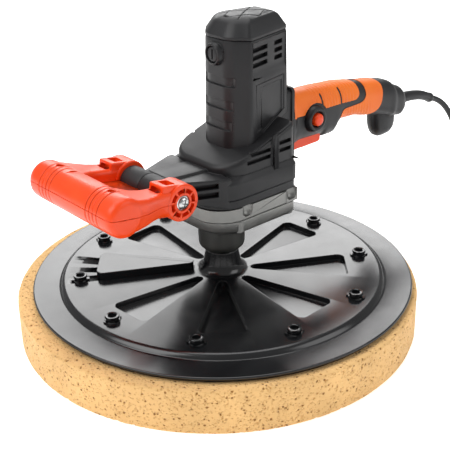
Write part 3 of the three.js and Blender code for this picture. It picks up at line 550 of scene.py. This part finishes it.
def make_studs():
    """Snap studs round the plate, each a collar with a hollow head over two crossed lugs."""
    # radius, height above the plate
    head = [
        (0, -3), (7.2, -3), (7.2, 0.9), (6.9, 1.3), (5.3, 1.5), (5.2, 2.4), (6.3, 2.7), (6.6, 3.2),
        (6.6, 5), (6.2, 5.4), (4.2, 5.4), (3.8, 5.1), (3.5, 2.2), (0, 2.2),
    ]
    centre = Matrix.Translation((STUD_RING, 0, 0))
    one = turned([(radius, STUD_BASE + up) for radius, up in head], "z", (STUD_RING, 0, 0), 32)
    lug = block(STUD_RING - 8.6, STUD_RING + 8.6, -2.2, 2.2, STUD_BASE - 1, STUD_BASE + 1.4)
    one = together(one, lug, moved(lug, centre @ about_z(90) @ centre.inverted()))
    ring = together(*[moved(one, about_z(327.5 + 360 / STUD_COUNT * i)) for i in range(STUD_COUNT)])
    nodes = [f"plate_rivet_{i + 1}" for i in range(STUD_COUNT)]
    piece("plate_studs", ring, "spindle", PLATE, nodes, 0, 40)


make_sponge()
make_plate()
make_studs()


# ---------------------------------------------------------------- gear case
COVER_SCREWS = ((-14, 39.5), (-14, -39.5), (49, 39), (49, -39))


def arc(x, y, radius, start, steps=10):
    """A quarter circle from a starting angle in degrees."""
    angles = [math.radians(start + 90 * i / steps) for i in range(steps + 1)]
    return [(x + radius * math.cos(angle), y + radius * math.sin(angle)) for angle in angles]


def case_outline(front, half, rear, corner=30, rear_corner=8):
    """Plan of the gear case: two large front corners, two small rear ones."""
    return [
        *arc(front + corner, -half + corner, corner, 180),
        *arc(rear - rear_corner, -half + rear_corner, rear_corner, 270),
        *arc(rear - rear_corner, half - rear_corner, rear_corner, 0),
        *arc(front + corner, half - corner, corner, 90),
    ]


def ring_at(outline, z):
    return [(x, y, z) for x, y in outline]


def make_gear_case():
    """Two castings: a cover with the spindle collar, and a middle band with a screw pocket each side."""
    low = skin([
        ring_at(case_outline(-36.5, 43.5, 54.5, 28), 110),
        ring_at(case_outline(-38.2, 45, 56, 29.5), 111.6),
        ring_at(case_outline(-39.5, 46, 57), 114),
        ring_at(case_outline(-39.5, 46, 57), 122.7),
    ])
    collar_side = [
        (9, 76), (16.8, 76), (17.8, 76.6), (21.4, 80.2), (22.2, 82), (22.5, 86), (23, 106), (23.4, 108.5),
        (25.5, 111), (9, 111),
    ]
    foot = [(0, 110.1), (5.6, 110.1), (6.6, 111.2), (6.6, 122), (0, 122)]
    bore = [(0, 100), (4.1, 100), (4.1, 112.6), (0, 112.6)]
    feet = [turned(foot, "z", (*at, 0), 28) for at in COVER_SCREWS]
    bores = [turned(bore, "z", (*at, 0), 24) for at in COVER_SCREWS]
    cover = carve(carve(low, [together(*feet)], "UNION"), [together(*bores)])
    piece("gear_cover_casting", cover, "housing", CASTING, "gear_case_cover", 0.5)
    collar = turned(collar_side, "z", (0, 0, 0), 72)
    piece("spindle_collar", collar, "housing", COLLAR, (), 0.5)

    band = skin([
        ring_at(case_outline(-42.3, 46, 57.2, 29.5), 123), ring_at(case_outline(-43.5, 47, 58), 124.4),
        ring_at(case_outline(-43.5, 47, 58), 136.5),
    ])
    pillars = [block(41, 56, s * 45 - 2.6, s * 45 + 2.6, 124, 136.4) for s in (-1, 1)]
    band = carve(band, [together(*pillars)], "UNION")
    dome = [(0, 126), (3.4, 126.6), (5.6, 128.6), (6.4, 131.5), (6.4, 140), (0, 140)]
    pockets = [turned(dome, "z", (x, s * 48.6, 0), 28) for s in (-1, 1) for x in (-8, 48)]
    band = carve(band, [together(*pockets)])
    piece("gear_case_casting", band, "housing", CASTING, "gear_case_middle", 0.4)


make_gear_case()


# ---------------------------------------------------------------- black housings
BAR = Vector((-84.3, 0, 163.7))
BAR_R = 13
ROOF_AT = Vector((0, 0, 183))
ROOF_UP = Vector((-0.33, 0, 1)).normalized()


def trim(bm, at, away):
    """Cuts off everything on the side that away points to and closes the cut; returns the cut's edges."""
    cut = bmesh.ops.bisect_plane(
        bm, geom=[*bm.verts, *bm.edges, *bm.faces], dist=1e-5, plane_co=at, plane_no=away, clear_outer=True,
        clear_inner=False,
    )["geom_cut"]
    edges = [e for e in cut if isinstance(e, bmesh.types.BMEdge)]
    bmesh.ops.holes_fill(bm, edges=edges, sides=0)
    bmesh.ops.recalc_face_normals(bm, faces=bm.faces)
    return edges


def arm_ring(x, half, low, high):
    """Section of the arm that holds the front bar, with its two upper corners cut off."""
    inset, top = half - 2, high + 1.4
    left = [(x, -half, low), (x, -half, high), (x, -inset, top)]
    return [*left, (x, inset, top), (x, half, high), (x, half, low)]


def make_gear_housing():
    """Lower black housing with its sloping roof, side vents and the ribbed arm that holds the front bar."""
    lower = skin([
        ring_at(case_outline(-42.8, 46, 57.2), 136.8), ring_at(case_outline(-42.8, 46, 57.2), 144.6),
        ring_at(case_outline(-44, 47, 58), 146), ring_at(case_outline(-44, 47, 58), 160.6),
        ring_at(case_outline(-41, 45.6, 57.6, 29), 162.6),
        ring_at(case_outline(-29.5, 43.7, 57.4, 27), 166),
    ])
    bm = skin([ring_at(case_outline(-28.5, 43.5, 57.4, 27), z) for z in (158, 215)])
    rim = trim(bm, ROOF_AT, ROOF_UP)
    bmesh.ops.bevel(
        bm, geom=rim, offset=4, offset_type="OFFSET", segments=5, profile=0.5, affect="EDGES", material=-1,
        clamp_overlap=True,
    )
    ribs = [block(26.5, 32.6, s * 44.2 - 2, s * 44.2 + 2, 161.5, 195.5) for s in (-1, 1)]
    for rib in ribs:
        round_edges(rib, lambda a, b: True, 0.8, 2)
    arm = skin([
        arm_ring(-72.3, 24, 151.7, 168.6), arm_ring(-69, 24.5, 150.3, 168.4),
        arm_ring(-30, 43, 139, 165.6), arm_ring(-24, 43.4, 138, 165.4),
    ])
    ridge = prism(
        [(-73.3, 171.6), (-72, 172.4), (-66, 172), (-24, 168.4), (-24, 160), (-73.3, 160)], -16, 16, "y"
    )
    round_edges(ridge, lambda a, b: abs(a.y - b.y) < 1 and a.z > 165, 2.5, 3)
    seat_r = BAR_R + 0.3
    seat = turned([(0, -30), (seat_r, -30), (seat_r, 30), (0, 30)], "y", BAR, 48)
    slots = []
    for z0, z1 in ((151.6, 156.6), (160, 164.8)):
        slot = prism([(7, -6), (37, -6), (37, 6), (7, 6)], z0, z1)
        slot = moved(slot, Matrix.Translation((-70, -24, 0)) @ about_z(-25.4))
        slots += [slot, placed(slot, Matrix.Scale(-1, 4, (0, 1, 0)))]
    bm = carve(bm, [lower, arm, ridge, together(*ribs)], "UNION")
    vents = []
    for s in (-1, 1):
        for x0, x1, z in ((-4.5, 24.5, 174), (1, 24.5, 180.4), (35.5, 50, 176), (35.5, 50, 183.4)):
            vents.append(block(x0, x1, s * 43 - 4, s * 43 + 4, z, z + 3.4))
    bm = carve(bm, [seat, together(*slots), together(*vents)])
    piece("gear_housing_moulding", bm, "housing", SHELL, "gear_housing", 0.6, 35)


TOWER_SIDE = [(-4.5, -12), (-1.5, -19), (6.5, -27.5), (11, -33), (70, -20.5), (73, -15)]
TOWER_MID = 35
TOWER_TAPER = 0.935
SIDE_TURN = math.degrees(math.atan2(12.5, 59))
TOWER_TOP = 281.7


def tower_ring(z, factor, round_off=5.0, steps=5):
    """Tower section with rounded corners, scaled about its middle."""
    corners = [Vector(p) for p in TOWER_SIDE + [(x, -y) for x, y in reversed(TOWER_SIDE)]]
    line = []
    for i, here in enumerate(corners):
        before, after = corners[i - 1], corners[(i + 1) % len(corners)]
        cut = min(round_off, (before - here).length * 0.45, (after - here).length * 0.45)
        a = here + (before - here).normalized() * cut
        b = here + (after - here).normalized() * cut
        for k in range(steps + 1):
            t = k / steps
            line.append((1 - t) ** 2 * a + 2 * t * (1 - t) * here + t**2 * b)
    return [(TOWER_MID + (p.x - TOWER_MID) * factor, p.y * factor, z) for p in line]


def factor_at(z):
    return 1 - (1 - TOWER_TAPER) * max(0, z - 150) / (TOWER_TOP - 150)


BRUSH_Z = 268.5


def on_side(shape, side):
    """Places a shape made with x along the tower's side from its front corner and -y outwards."""
    place = Matrix.Translation((12.2, -31.4, 0)) @ about_z(SIDE_TURN)
    if side > 0:
        place = Matrix.Scale(-1, 4, (0, 1, 0)) @ place
    return placed(shape, place)


def louvre_recess():
    """Recess behind the louvres, with a sloping ledge below them."""
    ring = [(-6, 243.6), (-0.4, 244.4), (1.5, 250.8), (1.5, 279), (-6, 279)]
    bm = bmesh.new()
    face = bm.faces.new([bm.verts.new((3, y, z)) for y, z in ring])
    return draw_out(bm, face, (53, 0, 0))


def louvre(u0, u1, low):
    return prism([(u0, low), (u1, low), (u1, low + 3.7), (u0, low + 3.7)], -4, 6, "y")


def make_tower():
    """Motor housing: bands round its nose, louvres, a sunk panel each side and the rear handle's root."""
    heights = (150, 185, 220, 250, 279.5)
    bm = skin([tower_ring(z, factor_at(z)) for z in heights] + [tower_ring(TOWER_TOP, TOWER_TAPER - 0.012)])
    trim(bm, ROOF_AT + Vector((0, 0, -3)), -ROOF_UP)
    root = block(56, 78.2, -19, 19, 150, 221)
    round_edges(root, lambda a, b: abs(a.x - b.x) > 5 or (a.x > 75 and b.x > 75), 3, 3)
    flange = block(74.4, 78.2, -20.6, 20.6, 151, 224)
    round_edges(flange, lambda a, b: abs(a.x - b.x) > 1, 5, 4)
    spine = block(60, 76.5, -11, 11, BRUSH_Z - 16, BRUSH_Z + 9)
    round_edges(spine, lambda a, b: a.x > 70 or b.x > 70, 4, 5)
    boss_side = [(0, -7.2), (8.8, -7.2), (9.6, -6.8), (10.3, -5.2), (10.8, -2), (11, 6), (0, 6)]
    boss = turned(boss_side, "x", (0, 0, BRUSH_Z), 48)
    bm = carve(bm, [root, flange, spine, boss], "UNION")
    bores = [
        turned([(0, x0), (7.7, x0), (7.7, x1), (0, x1)], "x", (0, 0, BRUSH_Z), 40)
        for x0, x1 in ((-12, 0), (66, 90))
    ]
    core = skin([tower_ring(z, factor_at(z) - 0.05) for z in heights])
    bands = [
        carve(block(-12, x1, -45, 45, z0, z1), [core])
        for z0, z1, x1 in ((240, 248.4, 2.6), (218, 226.6, 0.8), (199, 207.2, -0.4))
    ]
    bm = carve(bm, [together(*bores), *bands])
    panel_frame = prism([(7.5, 196), (7.5, 240.5), (52, 240.5), (52, 207)], -6, 0.3, "y")
    panel = prism([(15.5, 193), (15.5, 236.5), (49, 236.5), (49, 206)], -6, 1.2, "y")
    round_edges(panel, lambda a, b: abs(a.y - b.y) > 1, 1.6, 3)
    shapes = (louvre_recess(), panel_frame, panel)
    bm = carve(bm, [on_side(shape, side) for side in (-1, 1) for shape in shapes])
    louvres = [louvre(u0, u1, 256.6 + i * 6.9) for u0, u1 in ((4.5, 27), (38.5, 51)) for i in range(3)]
    bm = carve(bm, [together(*[on_side(one, side) for side in (-1, 1) for one in louvres])])
    piece("motor_housing_moulding", bm, "housing", SHELL, "motor_housing", 0.6, 32)


def make_cap():
    """Top cap: a deep chamfer up to a low dome scored with a diamond grid."""
    z = TOWER_TOP + 0.3
    # height above the tower, size against the tower's foot
    levels = [
        (0, TOWER_TAPER - 0.012), (0.8, TOWER_TAPER), (3, TOWER_TAPER), (12.6, 0.765), (14, 0.735),
        (16, 0.66), (17.6, 0.55), (18.6, 0.36), (19, 0.15),
    ]
    bm = skin([tower_ring(z + h, f, 6) for h, f in levels])
    scores = []
    for turn in (32, -32):
        for k in (-1, 0, 1):
            score = block(-60, 60, k * 15 - 0.5, k * 15 + 0.5, 0, 10)
            scores.append(moved(score, Matrix.Translation((TOWER_MID, 0, z + 16.6)) @ about_z(turn)))
    keep = skin([tower_ring(z + h - 0.7, f, 6) for h, f in levels])
    scores = [carve(s, [keep]) for s in scores]
    bm = carve(bm, scores)
    piece("motor_cap_moulding", bm, "housing", SHELL, "top_cap", 0.35, 30)


def make_brush_caps():
    for name, x, sign in (("brush_cap_front", -6.5, 1), ("brush_cap_rear", 76, -1)):
        cap = turned([(0, 0), (5.9, 0), (6.8, 0.5), (7.2, 1.4), (7.2, 9), (0, 9)], "x", (0, 0, 0), 36)
        cap = carve(cap, [block(-1, 1.6, -0.9, 0.9, -4.6, 4.6)])
        cap = placed(cap, Matrix.Translation((x, 0, BRUSH_Z)) @ Matrix.Scale(sign, 4, (1, 0, 0)))
        piece(name + "_moulding", cap, "housing", SHELL, name, 0.3)


make_gear_housing()
make_tower()
make_cap()
make_brush_caps()


# ---------------------------------------------------------------- front loop handle
LOOP_TILT = math.radians(9)
LOOP = Matrix.Translation(BAR) @ Matrix((
    (-math.cos(LOOP_TILT), 0, math.sin(LOOP_TILT), 0),
    (0, -1, 0, 0),
    (math.sin(LOOP_TILT), 0, math.cos(LOOP_TILT), 0),
    (0, 0, 0, 1),
))
GRIP_AT, GRIP_R, GRIP_HALF = 68, 17.5, 62
HUB_R, HUB_IN, HUB_OUT = 16.8, 25.8, 49


def soft_box_ring(u, near, far, high, corner=5, steps=4):
    """Rounded rectangle across the arm at a distance from the bar."""
    middle, wide = (near + far) / 2, abs(far - near) / 2
    line = []
    for i, (sy, sz) in enumerate(((1, 1), (-1, 1), (-1, -1), (1, -1))):
        for k in range(steps + 1):
            a = math.radians(90 * (i + k / steps))
            across = middle + sy * (wide - corner) + corner * math.cos(a)
            line.append((u, across, sz * (high - corner) + corner * math.sin(a)))
    return line


def curve_to(start, bend, end, steps=8):
    """Points of a quadratic curve, without its first."""
    return [
        tuple((1 - t) ** 2 * a + 2 * t * (1 - t) * b + t * t * c for a, b, c in zip(start, bend, end))
        for t in (i / steps for i in range(1, steps + 1))
    ]


def make_bar():
    """Rubber sleeve in two halves, with a narrow groove where they meet."""
    seam = 0.35
    half = [(0, 0), (12.5, 0), (12.75, 0.5), (BAR_R, 1.2), (BAR_R, 24.6), (12.4, 25.4), (0, 25.4)]
    bar = together(
        turned([(r, h + seam) for r, h in half[:-1]] + [(0, 25.4)], "y", BAR, 64),
        turned([(r, -h - seam) for r, h in half[:-1]] + [(0, -25.4)], "y", BAR, 64),
        turned([(0, -1), (12.3, -1), (12.3, 1), (0, 1)], "y", BAR, 64),
    )
    piece("bar_sleeve", bar, "housing", RUBBER, "handle_crossbar", 0)


def make_loop():
    """Two orange shells round the bar's axis: ringed grip, two arms and star pierced hubs."""
    profile = [(0, -GRIP_HALF), (11.5, -GRIP_HALF), (14.2, -61.4), (16, -60), (17.1, -57.6), (GRIP_R, -54)]
    for start in (-44, 26):
        for k in range(4):
            y = start + k * 5.2
            profile += [(GRIP_R, y), (16.95, y + 0.45), (16.95, y + 1.15), (GRIP_R, y + 1.6)]
    profile += [(GRIP_R, 54), (17.1, 57.6), (16, 60), (14.2, 61.4), (11.5, GRIP_HALF), (0, GRIP_HALF)]
    grip = turned(profile, "y", (GRIP_AT, 0, 0), 96)
    whole = [grip]
    for s in (-1, 1):
        # distance from the bar, inner reach, outer reach, half height
        runs = [
            (0, 28, 47, 12), (14, 27, 48.4, 12), (24, 26.6, 50, 11), (34, 27, 54, 11), (44, 26, 58.5, 12),
            (54, 20, 60.8, 13.6), (62, 16, 61.4, 15), (GRIP_AT + 4, 14, 61.4, 15.6),
        ]
        arm = skin([soft_box_ring(u, s * near, s * far, high) for u, near, far, high in runs])
        shelf = block(-6, 22, *sorted((s * 27.5, s * 46.5)), 4, 16.4)
        round_edges(shelf, lambda a, b: a.z > 10 or b.z > 10, 1.4, 3)
        whole.append(shelf)
        hub = turned(
            [(0, s * HUB_IN), (15.8, s * HUB_IN), (HUB_R, s * (HUB_IN + 1)), (HUB_R, s * (HUB_OUT - 1)),
             (15.8, s * HUB_OUT), (0, s * HUB_OUT)],
            "y", (0, 0, 0), 72,
        )
        whole += [arm, hub]
    bm = carve(whole[0], whole[1:], "UNION")
    cuts = []
    for s in (-1, 1):
        deep, face = s * (HUB_OUT - 5), s * (HUB_OUT + 2)
        for k in range(8):
            pierce = turned([(9.2, deep), (12.9, deep), (12.9, face), (9.2, face)], "y", (0, 0, 0), 6, 36)
            cuts.append(moved(pierce, Matrix.Rotation(math.radians(45 * k), 4, "Y")))
        seat = s * (HUB_OUT - 2.2)
        cuts.append(turned([(0, seat), (6.9, seat), (6.9, face), (0, face)], "y", (0, 0, 0), 40))
        cuts.append(turned([(0, s * 20), (4.3, s * 20), (4.3, seat), (0, seat)], "y", (0, 0, 0), 24))
    for u, y in ((GRIP_AT, 38), (GRIP_AT, -38)):
        cuts.append(turned([(0, 7), (3.6, 7), (3.6, 30), (0, 30)], "z", (u, y, 0), 28))
    for s in (-1, 1):
        top = block(6, 16, *sorted((s * 31, s * 43)), 8, 20)
        front = block(17, 26, *sorted((s * 30.5, s * 43.5)), 5, 13.6)
        for pocket_cut in (top, front):
            cuts.append(round_edges(pocket_cut, lambda a, b: True, 1.2, 2))
    bm = carve(bm, [together(*cuts)])
    panel = block(GRIP_AT - 7, GRIP_AT + 7, -20, 20, 16.5, 30)
    round_edges(panel, upright, 2, 3)
    bm = carve(bm, [panel])
    for name, away in (("upper", (0, 0, -1)), ("lower", (0, 0, 1))):
        half = bm.copy()
        trim(half, Vector(away) * -0.12, Vector(away))
        half = placed(half, LOOP)
        node = f"loop_handle_{name}"
        piece(f"loop_shell_{name}", half, "loop_handle", ORANGE, node, 0.35, 38)


def make_pivot_bolts():
    """Domed bolts through the hubs, each with a cross recess."""
    seat = HUB_OUT - 2
    # radius, distance from the middle of the bar
    side = [
        (0, 8), (4, 8), (4, seat), (6.4, seat), (6.4, seat + 1.2), (5.4, seat + 1.5), (5.3, seat + 2.6),
        (4.4, seat + 3.6), (2.4, seat + 4.1), (0, seat + 4.2),
    ]
    for name, s in (("right", -1), ("left", 1)):
        bolt = turned([(radius, s * out) for radius, out in side], "y", BAR, 40)
        blade = block(-3.2, 3.2, *sorted((s * (seat + 2), s * (seat + 6))), -0.6, 0.6)
        turns = [Matrix.Rotation(math.radians(angle), 4, "Y") for angle in (20, 110)]
        bolt = carve(bolt, [moved(blade, Matrix.Translation(BAR) @ turn) for turn in turns])
        piece(f"pivot_bolt_{name}_turned", bolt, "housing", STEEL, f"pivot_bolt_{name}", 0)


make_bar()
make_loop()
make_pivot_bolts()


# ---------------------------------------------------------------- rear handle
# x, centre height, half height, half width
HANDLE = [
    (78.5, 187, 33, 20), (82, 187, 32.4, 19.4), (84.5, 187.2, 29, 17), (96.5, 187, 25.5, 16.5),
    (126, 186, 25, 17.5), (131, 184, 26.5, 17.5), (143, 183.5, 26, 17), (153, 189.5, 19.3, 16.5),
    (175, 187.5, 18, 16.5), (200, 182.5, 18.5, 17), (226, 176.5, 20, 18), (233, 173.5, 21, 18.5),
    (239, 171, 17.5, 17), (250, 168, 17, 16.5), (257, 166.5, 13, 13),
]
SQUARENESS = 2.6
BUTTON = (110, 184)


def handle_section(x):
    for a, b in zip(HANDLE, HANDLE[1:]):
        if x <= b[0]:
            t = ease((x - a[0]) / (b[0] - a[0])) * 0.5 + 0.5 * (x - a[0]) / (b[0] - a[0])
            return [p + (q - p) * t for p, q in zip(a, b)][1:]
    return HANDLE[-1][1:]


def signed_power(value, power):
    return math.copysign(abs(value) ** power, value)


def handle_ring(x, proud=0.0, points=56, ribs=None):
    centre, high, wide = handle_section(x)
    line = []
    for i in range(points):
        a = 2 * math.pi * i / points
        lift = proud + (ribs(x, a) if ribs else 0)
        power = 2 / SQUARENESS
        y = (wide + lift) * signed_power(math.sin(a), power)
        line.append((x, y, centre + (high + lift) * signed_power(math.cos(a), power)))
    return line


def steps_between(low, high, step):
    count = max(1, round((high - low) / step))
    return [low + (high - low) * i / count for i in range(count + 1)]


def from_top(angle):
    """How far an angle round the handle is from its top line, in radians."""
    return abs((angle + math.pi) % (2 * math.pi) - math.pi)


def top_ribs(x, a):
    """Fine ribs across the palm side."""
    fade = ease((x - 106) / 5) * ease((173 - x) / 5)
    around = ease((1.9 - from_top(a)) / 0.35)
    return 0.32 * fade * around * math.cos(2 * math.pi * x / 4.6)


def low_ribs(x, a):
    """Slanting ribs under the fingers."""
    side = from_top(a)
    fade = ease((side - 1.5) / 0.3) * ease((x - 158) / 4) * ease((197 - x) / 4)
    return 0.3 * fade * math.cos(2 * math.pi * (x - 5 * side) / 4.2)


def lobe_ring(x, middle, high, half):
    """Section of the lobe that hangs below the rear end of the handle."""
    angles = [2 * math.pi * i / 32 for i in range(32)]
    return [(x, half * math.sin(a), middle + high * signed_power(math.cos(a), 0.8)) for a in angles]


LOBE = [
    (216, 160, 8, 4.5), (217.5, 156, 14, 7.6), (220.5, 152.6, 18, 9.8), (225, 150.8, 18.6, 11),
    (231, 150.2, 18.4, 11.4), (238, 150.4, 18, 11.2), (242.6, 151.4, 17, 10), (245.4, 154, 13.6, 7.6),
    (246.4, 157, 9, 4.6),
]


def make_handle_shells():
    """Two black shells, split on the middle plane, with a boss round the lock button on the right."""
    core = skin([handle_ring(x) for x in steps_between(78.5, 257, 2.1)] + [handle_ring(257, -2.4)])
    core = carve(core, [skin([lobe_ring(*section) for section in LOBE])], "UNION")
    core = carve(core, [block(83.4, 129.6, -7.6, 7.6, 140, 176)])
    at = (BUTTON[0], 0, BUTTON[1])
    boss_side = [
        (0, -14), (14, -14), (13.6, -17.4), (12.5, -20.4), (11.4, -21.7), (10, -22), (8.6, -21.5),
        (7.6, -19.8), (7.3, -17), (0, -17),
    ]
    hole = turned([(0, -30), (12, -30), (12, -12), (0, -12)], "y", at, 40)
    for name, away in (("right", (0, 1, 0)), ("left", (0, -1, 0))):
        half = core.copy()
        trim(half, Vector(away) * -0.12, Vector(away))
        if name == "right":
            half = together(carve(half, [hole]), turned(boss_side, "y", at, 56))
        piece(f"rear_handle_shell_{name}", half, "housing", SHELL, f"rear_handle_{name}", 0.3, 40)


def notch(x):
    """Slot across the front grip: straight sides that bulge a little, and a round top."""
    return [
        (x - 1.2, 180), *curve_to((x - 1.2, 180), (x + 0.4, 195), (x - 1.5, 205.6)),
        *curve_to((x - 1.5, 205.6), (x - 0.2, 208.6), (x + 1.3, 205.6)),
        *curve_to((x + 1.3, 205.6), (x + 3, 195), (x + 1.6, 180)),
    ]


def make_grip():
    """Orange elastomer in two patches: ribbed over the palm in front, ribbed under the fingers behind."""
    front = skin([handle_ring(x, 0.5, 64, top_ribs) for x in steps_between(79, 178, 0.75)])
    patch = [
        (79.2, 230), (79.2, 191.6), (96, 190.6), *curve_to((96, 190.6), (102, 199.5), (111, 199.5)),
        *curve_to((111, 199.5), (121, 199), (125, 191.4)), (150, 190.6), (168, 189.6),
        *curve_to((168, 189.6), (176, 190), (176, 197)), (175, 230),
    ]
    front = carve(front, [prism(patch, -30, 30, "y")], "INTERSECT")
    sides = ((-30, -9), (9, 30))
    front = carve(front, [prism(notch(x), *side, "y") for x in (120, 147.5) for side in sides])
    rear = skin([handle_ring(x, 0.5, 64, low_ribs) for x in steps_between(140, 222, 0.75)])
    patch = [
        (184.6, 230), (186, 205), (186.4, 193), *curve_to((186.4, 193), (186, 184.6), (176, 184.2)),
        (156, 183.6), *curve_to((156, 183.6), (151, 182.6), (150, 176)), (150, 140), (196, 140),
        (197, 164.5), *curve_to((197, 164.5), (208, 168), (211, 180)), (213.5, 196), (208, 230),
    ]
    rear = carve(rear, [prism(patch, -30, 30, "y")], "INTERSECT")
    grip = together(front, rear)
    piece("rear_grip_elastomer", grip, "housing", SOFT_ORANGE, "rear_grip_skin", 0, 40)


def make_controls():
    """Trigger under the handle and lock button in its boss."""
    outline = [
        (84, 151.6), *curve_to((84, 151.6), (93, 153.8), (104, 153)), (125.5, 153.4),
        *curve_to((125.5, 153.4), (129, 154), (129, 157)), (129, 166), (84, 166),
    ]
    trigger = prism(outline, -7, 7, "y")
    round_edges(trigger, lambda a, b: a.z < 160 and b.z < 160 and abs(a.y - b.y) < 1, 1.4, 3)
    piece("trigger_blade", trigger, "trigger", ORANGE, "trigger", 0)
    dome = [(0, -24.6), (3.4, -24.4), (5, -23.9), (5.9, -23), (6.4, -21.4), (6.4, -12), (0, -12)]
    button = turned(dome, "y", (BUTTON[0], 0, BUTTON[1]), 40)
    piece("lock_button_cap", button, "lock_button", ORANGE, "lock_button", 0)


def make_guard():
    """Moulded bend guard: a tapering sleeve with a collar at its tip."""
    route = [(255, 0, 166), (266, 0, 166), (282, 0, 164.8), (300, 0, 161.2), (318, 0, 154)]
    spine = smooth_path(route, 10)
    angles = [2 * math.pi * k / 32 for k in range(32)]
    rings = []
    for i, here in enumerate(spine):
        along = (spine[min(i + 1, len(spine) - 1)] - spine[max(i - 1, 0)]).normalized()
        side = Vector((0, 1, 0))
        up = along.cross(side)
        far = i / (len(spine) - 1)
        radius = 6.4 - 1.6 * far
        if far < 0.2:
            radius += 1.6 * (1 - ease(far / 0.2))
        if far > 0.93:
            radius = 5.5
        if far > 0.99:
            radius = 4.9
        rings.append([here + radius * (math.cos(a) * side + math.sin(a) * up) for a in angles])
    piece("cord_bend_guard", skin(rings), "housing", RUBBER, "cord_guard", 0, 50)


make_handle_shells()
make_grip()
make_controls()
make_guard()


# ---------------------------------------------------------------- inner parts and screws
FINISHES = (
    (HOOK, ["hook_and_loop_disc"]),
    (STEEL, ["spindle", "spindle_gear", "layshaft", "motor_shaft"]),
    (STEEL, [f"{shaft}_bearing_{end}" for shaft in ("spindle", "motor") for end in ("lower", "upper")]),
    (STEEL, [f"{kind}_screw_{i}" for kind in ("gear_case", "loop") for i in range(1, 5)]),
    (CASTING, ["bearing_plate"]),
    (IRON, ["stator_core", "armature_core"]),
    (COPPER, ["field_coil_lower", "field_coil_upper", "commutator"]),
    (CARBON, ["carbon_brush_front", "carbon_brush_rear"]),
    (SHELL_DARK, ["cooling_fan", "switch_body"]),
)
for finish, nodes in FINISHES:
    for node in nodes:
        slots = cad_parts[node].data.materials
        slots.clear()
        slots.append(finish)


# ---------------------------------------------------------------- floor and light
FLOOR_GLOW = 0.55
SKY_STRENGTH = 0.4


def make_floor():
    """White studio floor that glows a little, so that it stays white under soft light."""
    made, tree, place = blank("matt_white_floor")
    # Painted board: white and dull, with a barely visible change of tone.
    slow = add(tree, "TexNoise", {"Vector": place, "Scale": size(600), "Detail": 2.0})
    tone = add(tree, "ValToRGB", {"Fac": slow.outputs["Fac"]})
    stops(tone, (0.3, linear("#F7F7F7")), (0.7, linear("#FBFBFB")))
    shader = add(
        tree, "BsdfPrincipled",
        {"Base Color": tone.outputs["Color"], "Roughness": 0.9, "Emission Color": (1, 1, 1, 1),
         "Emission Strength": FLOOR_GLOW},
    )
    add(tree, "OutputMaterial", {"Surface": shader.outputs["BSDF"]})
    bm = bmesh.new()
    bmesh.ops.create_grid(bm, x_segments=8, y_segments=8, size=12)
    bmesh.ops.translate(bm, vec=(0, 0, -0.0002), verts=bm.verts)
    mesh = bpy.data.meshes.new("floor")
    bm.to_mesh(mesh)
    floor = bpy.data.objects.new("floor", mesh)
    mesh.materials.append(made)
    bpy.context.collection.objects.link(floor)


def light(name, at, target, width, height, power):
    """A soft box of this size in metres and power in watts, aimed at a target."""
    lamp = bpy.data.lights.new(name, "AREA")
    lamp.shape, lamp.size, lamp.size_y, lamp.energy = "RECTANGLE", width, height, power
    made = bpy.data.objects.new(name, lamp)
    aim = (Vector(target) - Vector(at)).to_track_quat("-Z", "Y")
    made.matrix_world = Matrix.Translation(at) @ aim.to_matrix().to_4x4()
    bpy.context.collection.objects.link(made)


make_floor()
light("key", (-1.3, 0.3, 1.5), (0, 0, 0.1), 1.2, 1.2, 19)
light("back", (1.3, 1.7, 1.2), (0, 0, 0.1), 1.8, 1.0, 26)
light("fill", (0.9, -1.5, 1.2), (0, 0, 0.15), 1.2, 1.0, 9)
light("top", (0.2, 0.5, 1.9), (0, 0, 0.2), 1.6, 1.2, 16)
world = bpy.data.worlds.new("studio")
world.use_nodes = True
world.node_tree.nodes["Background"].inputs["Color"].default_value = (1, 1, 1, 1)
world.node_tree.nodes["Background"].inputs["Strength"].default_value = SKY_STRENGTH
bpy.context.scene.world = world
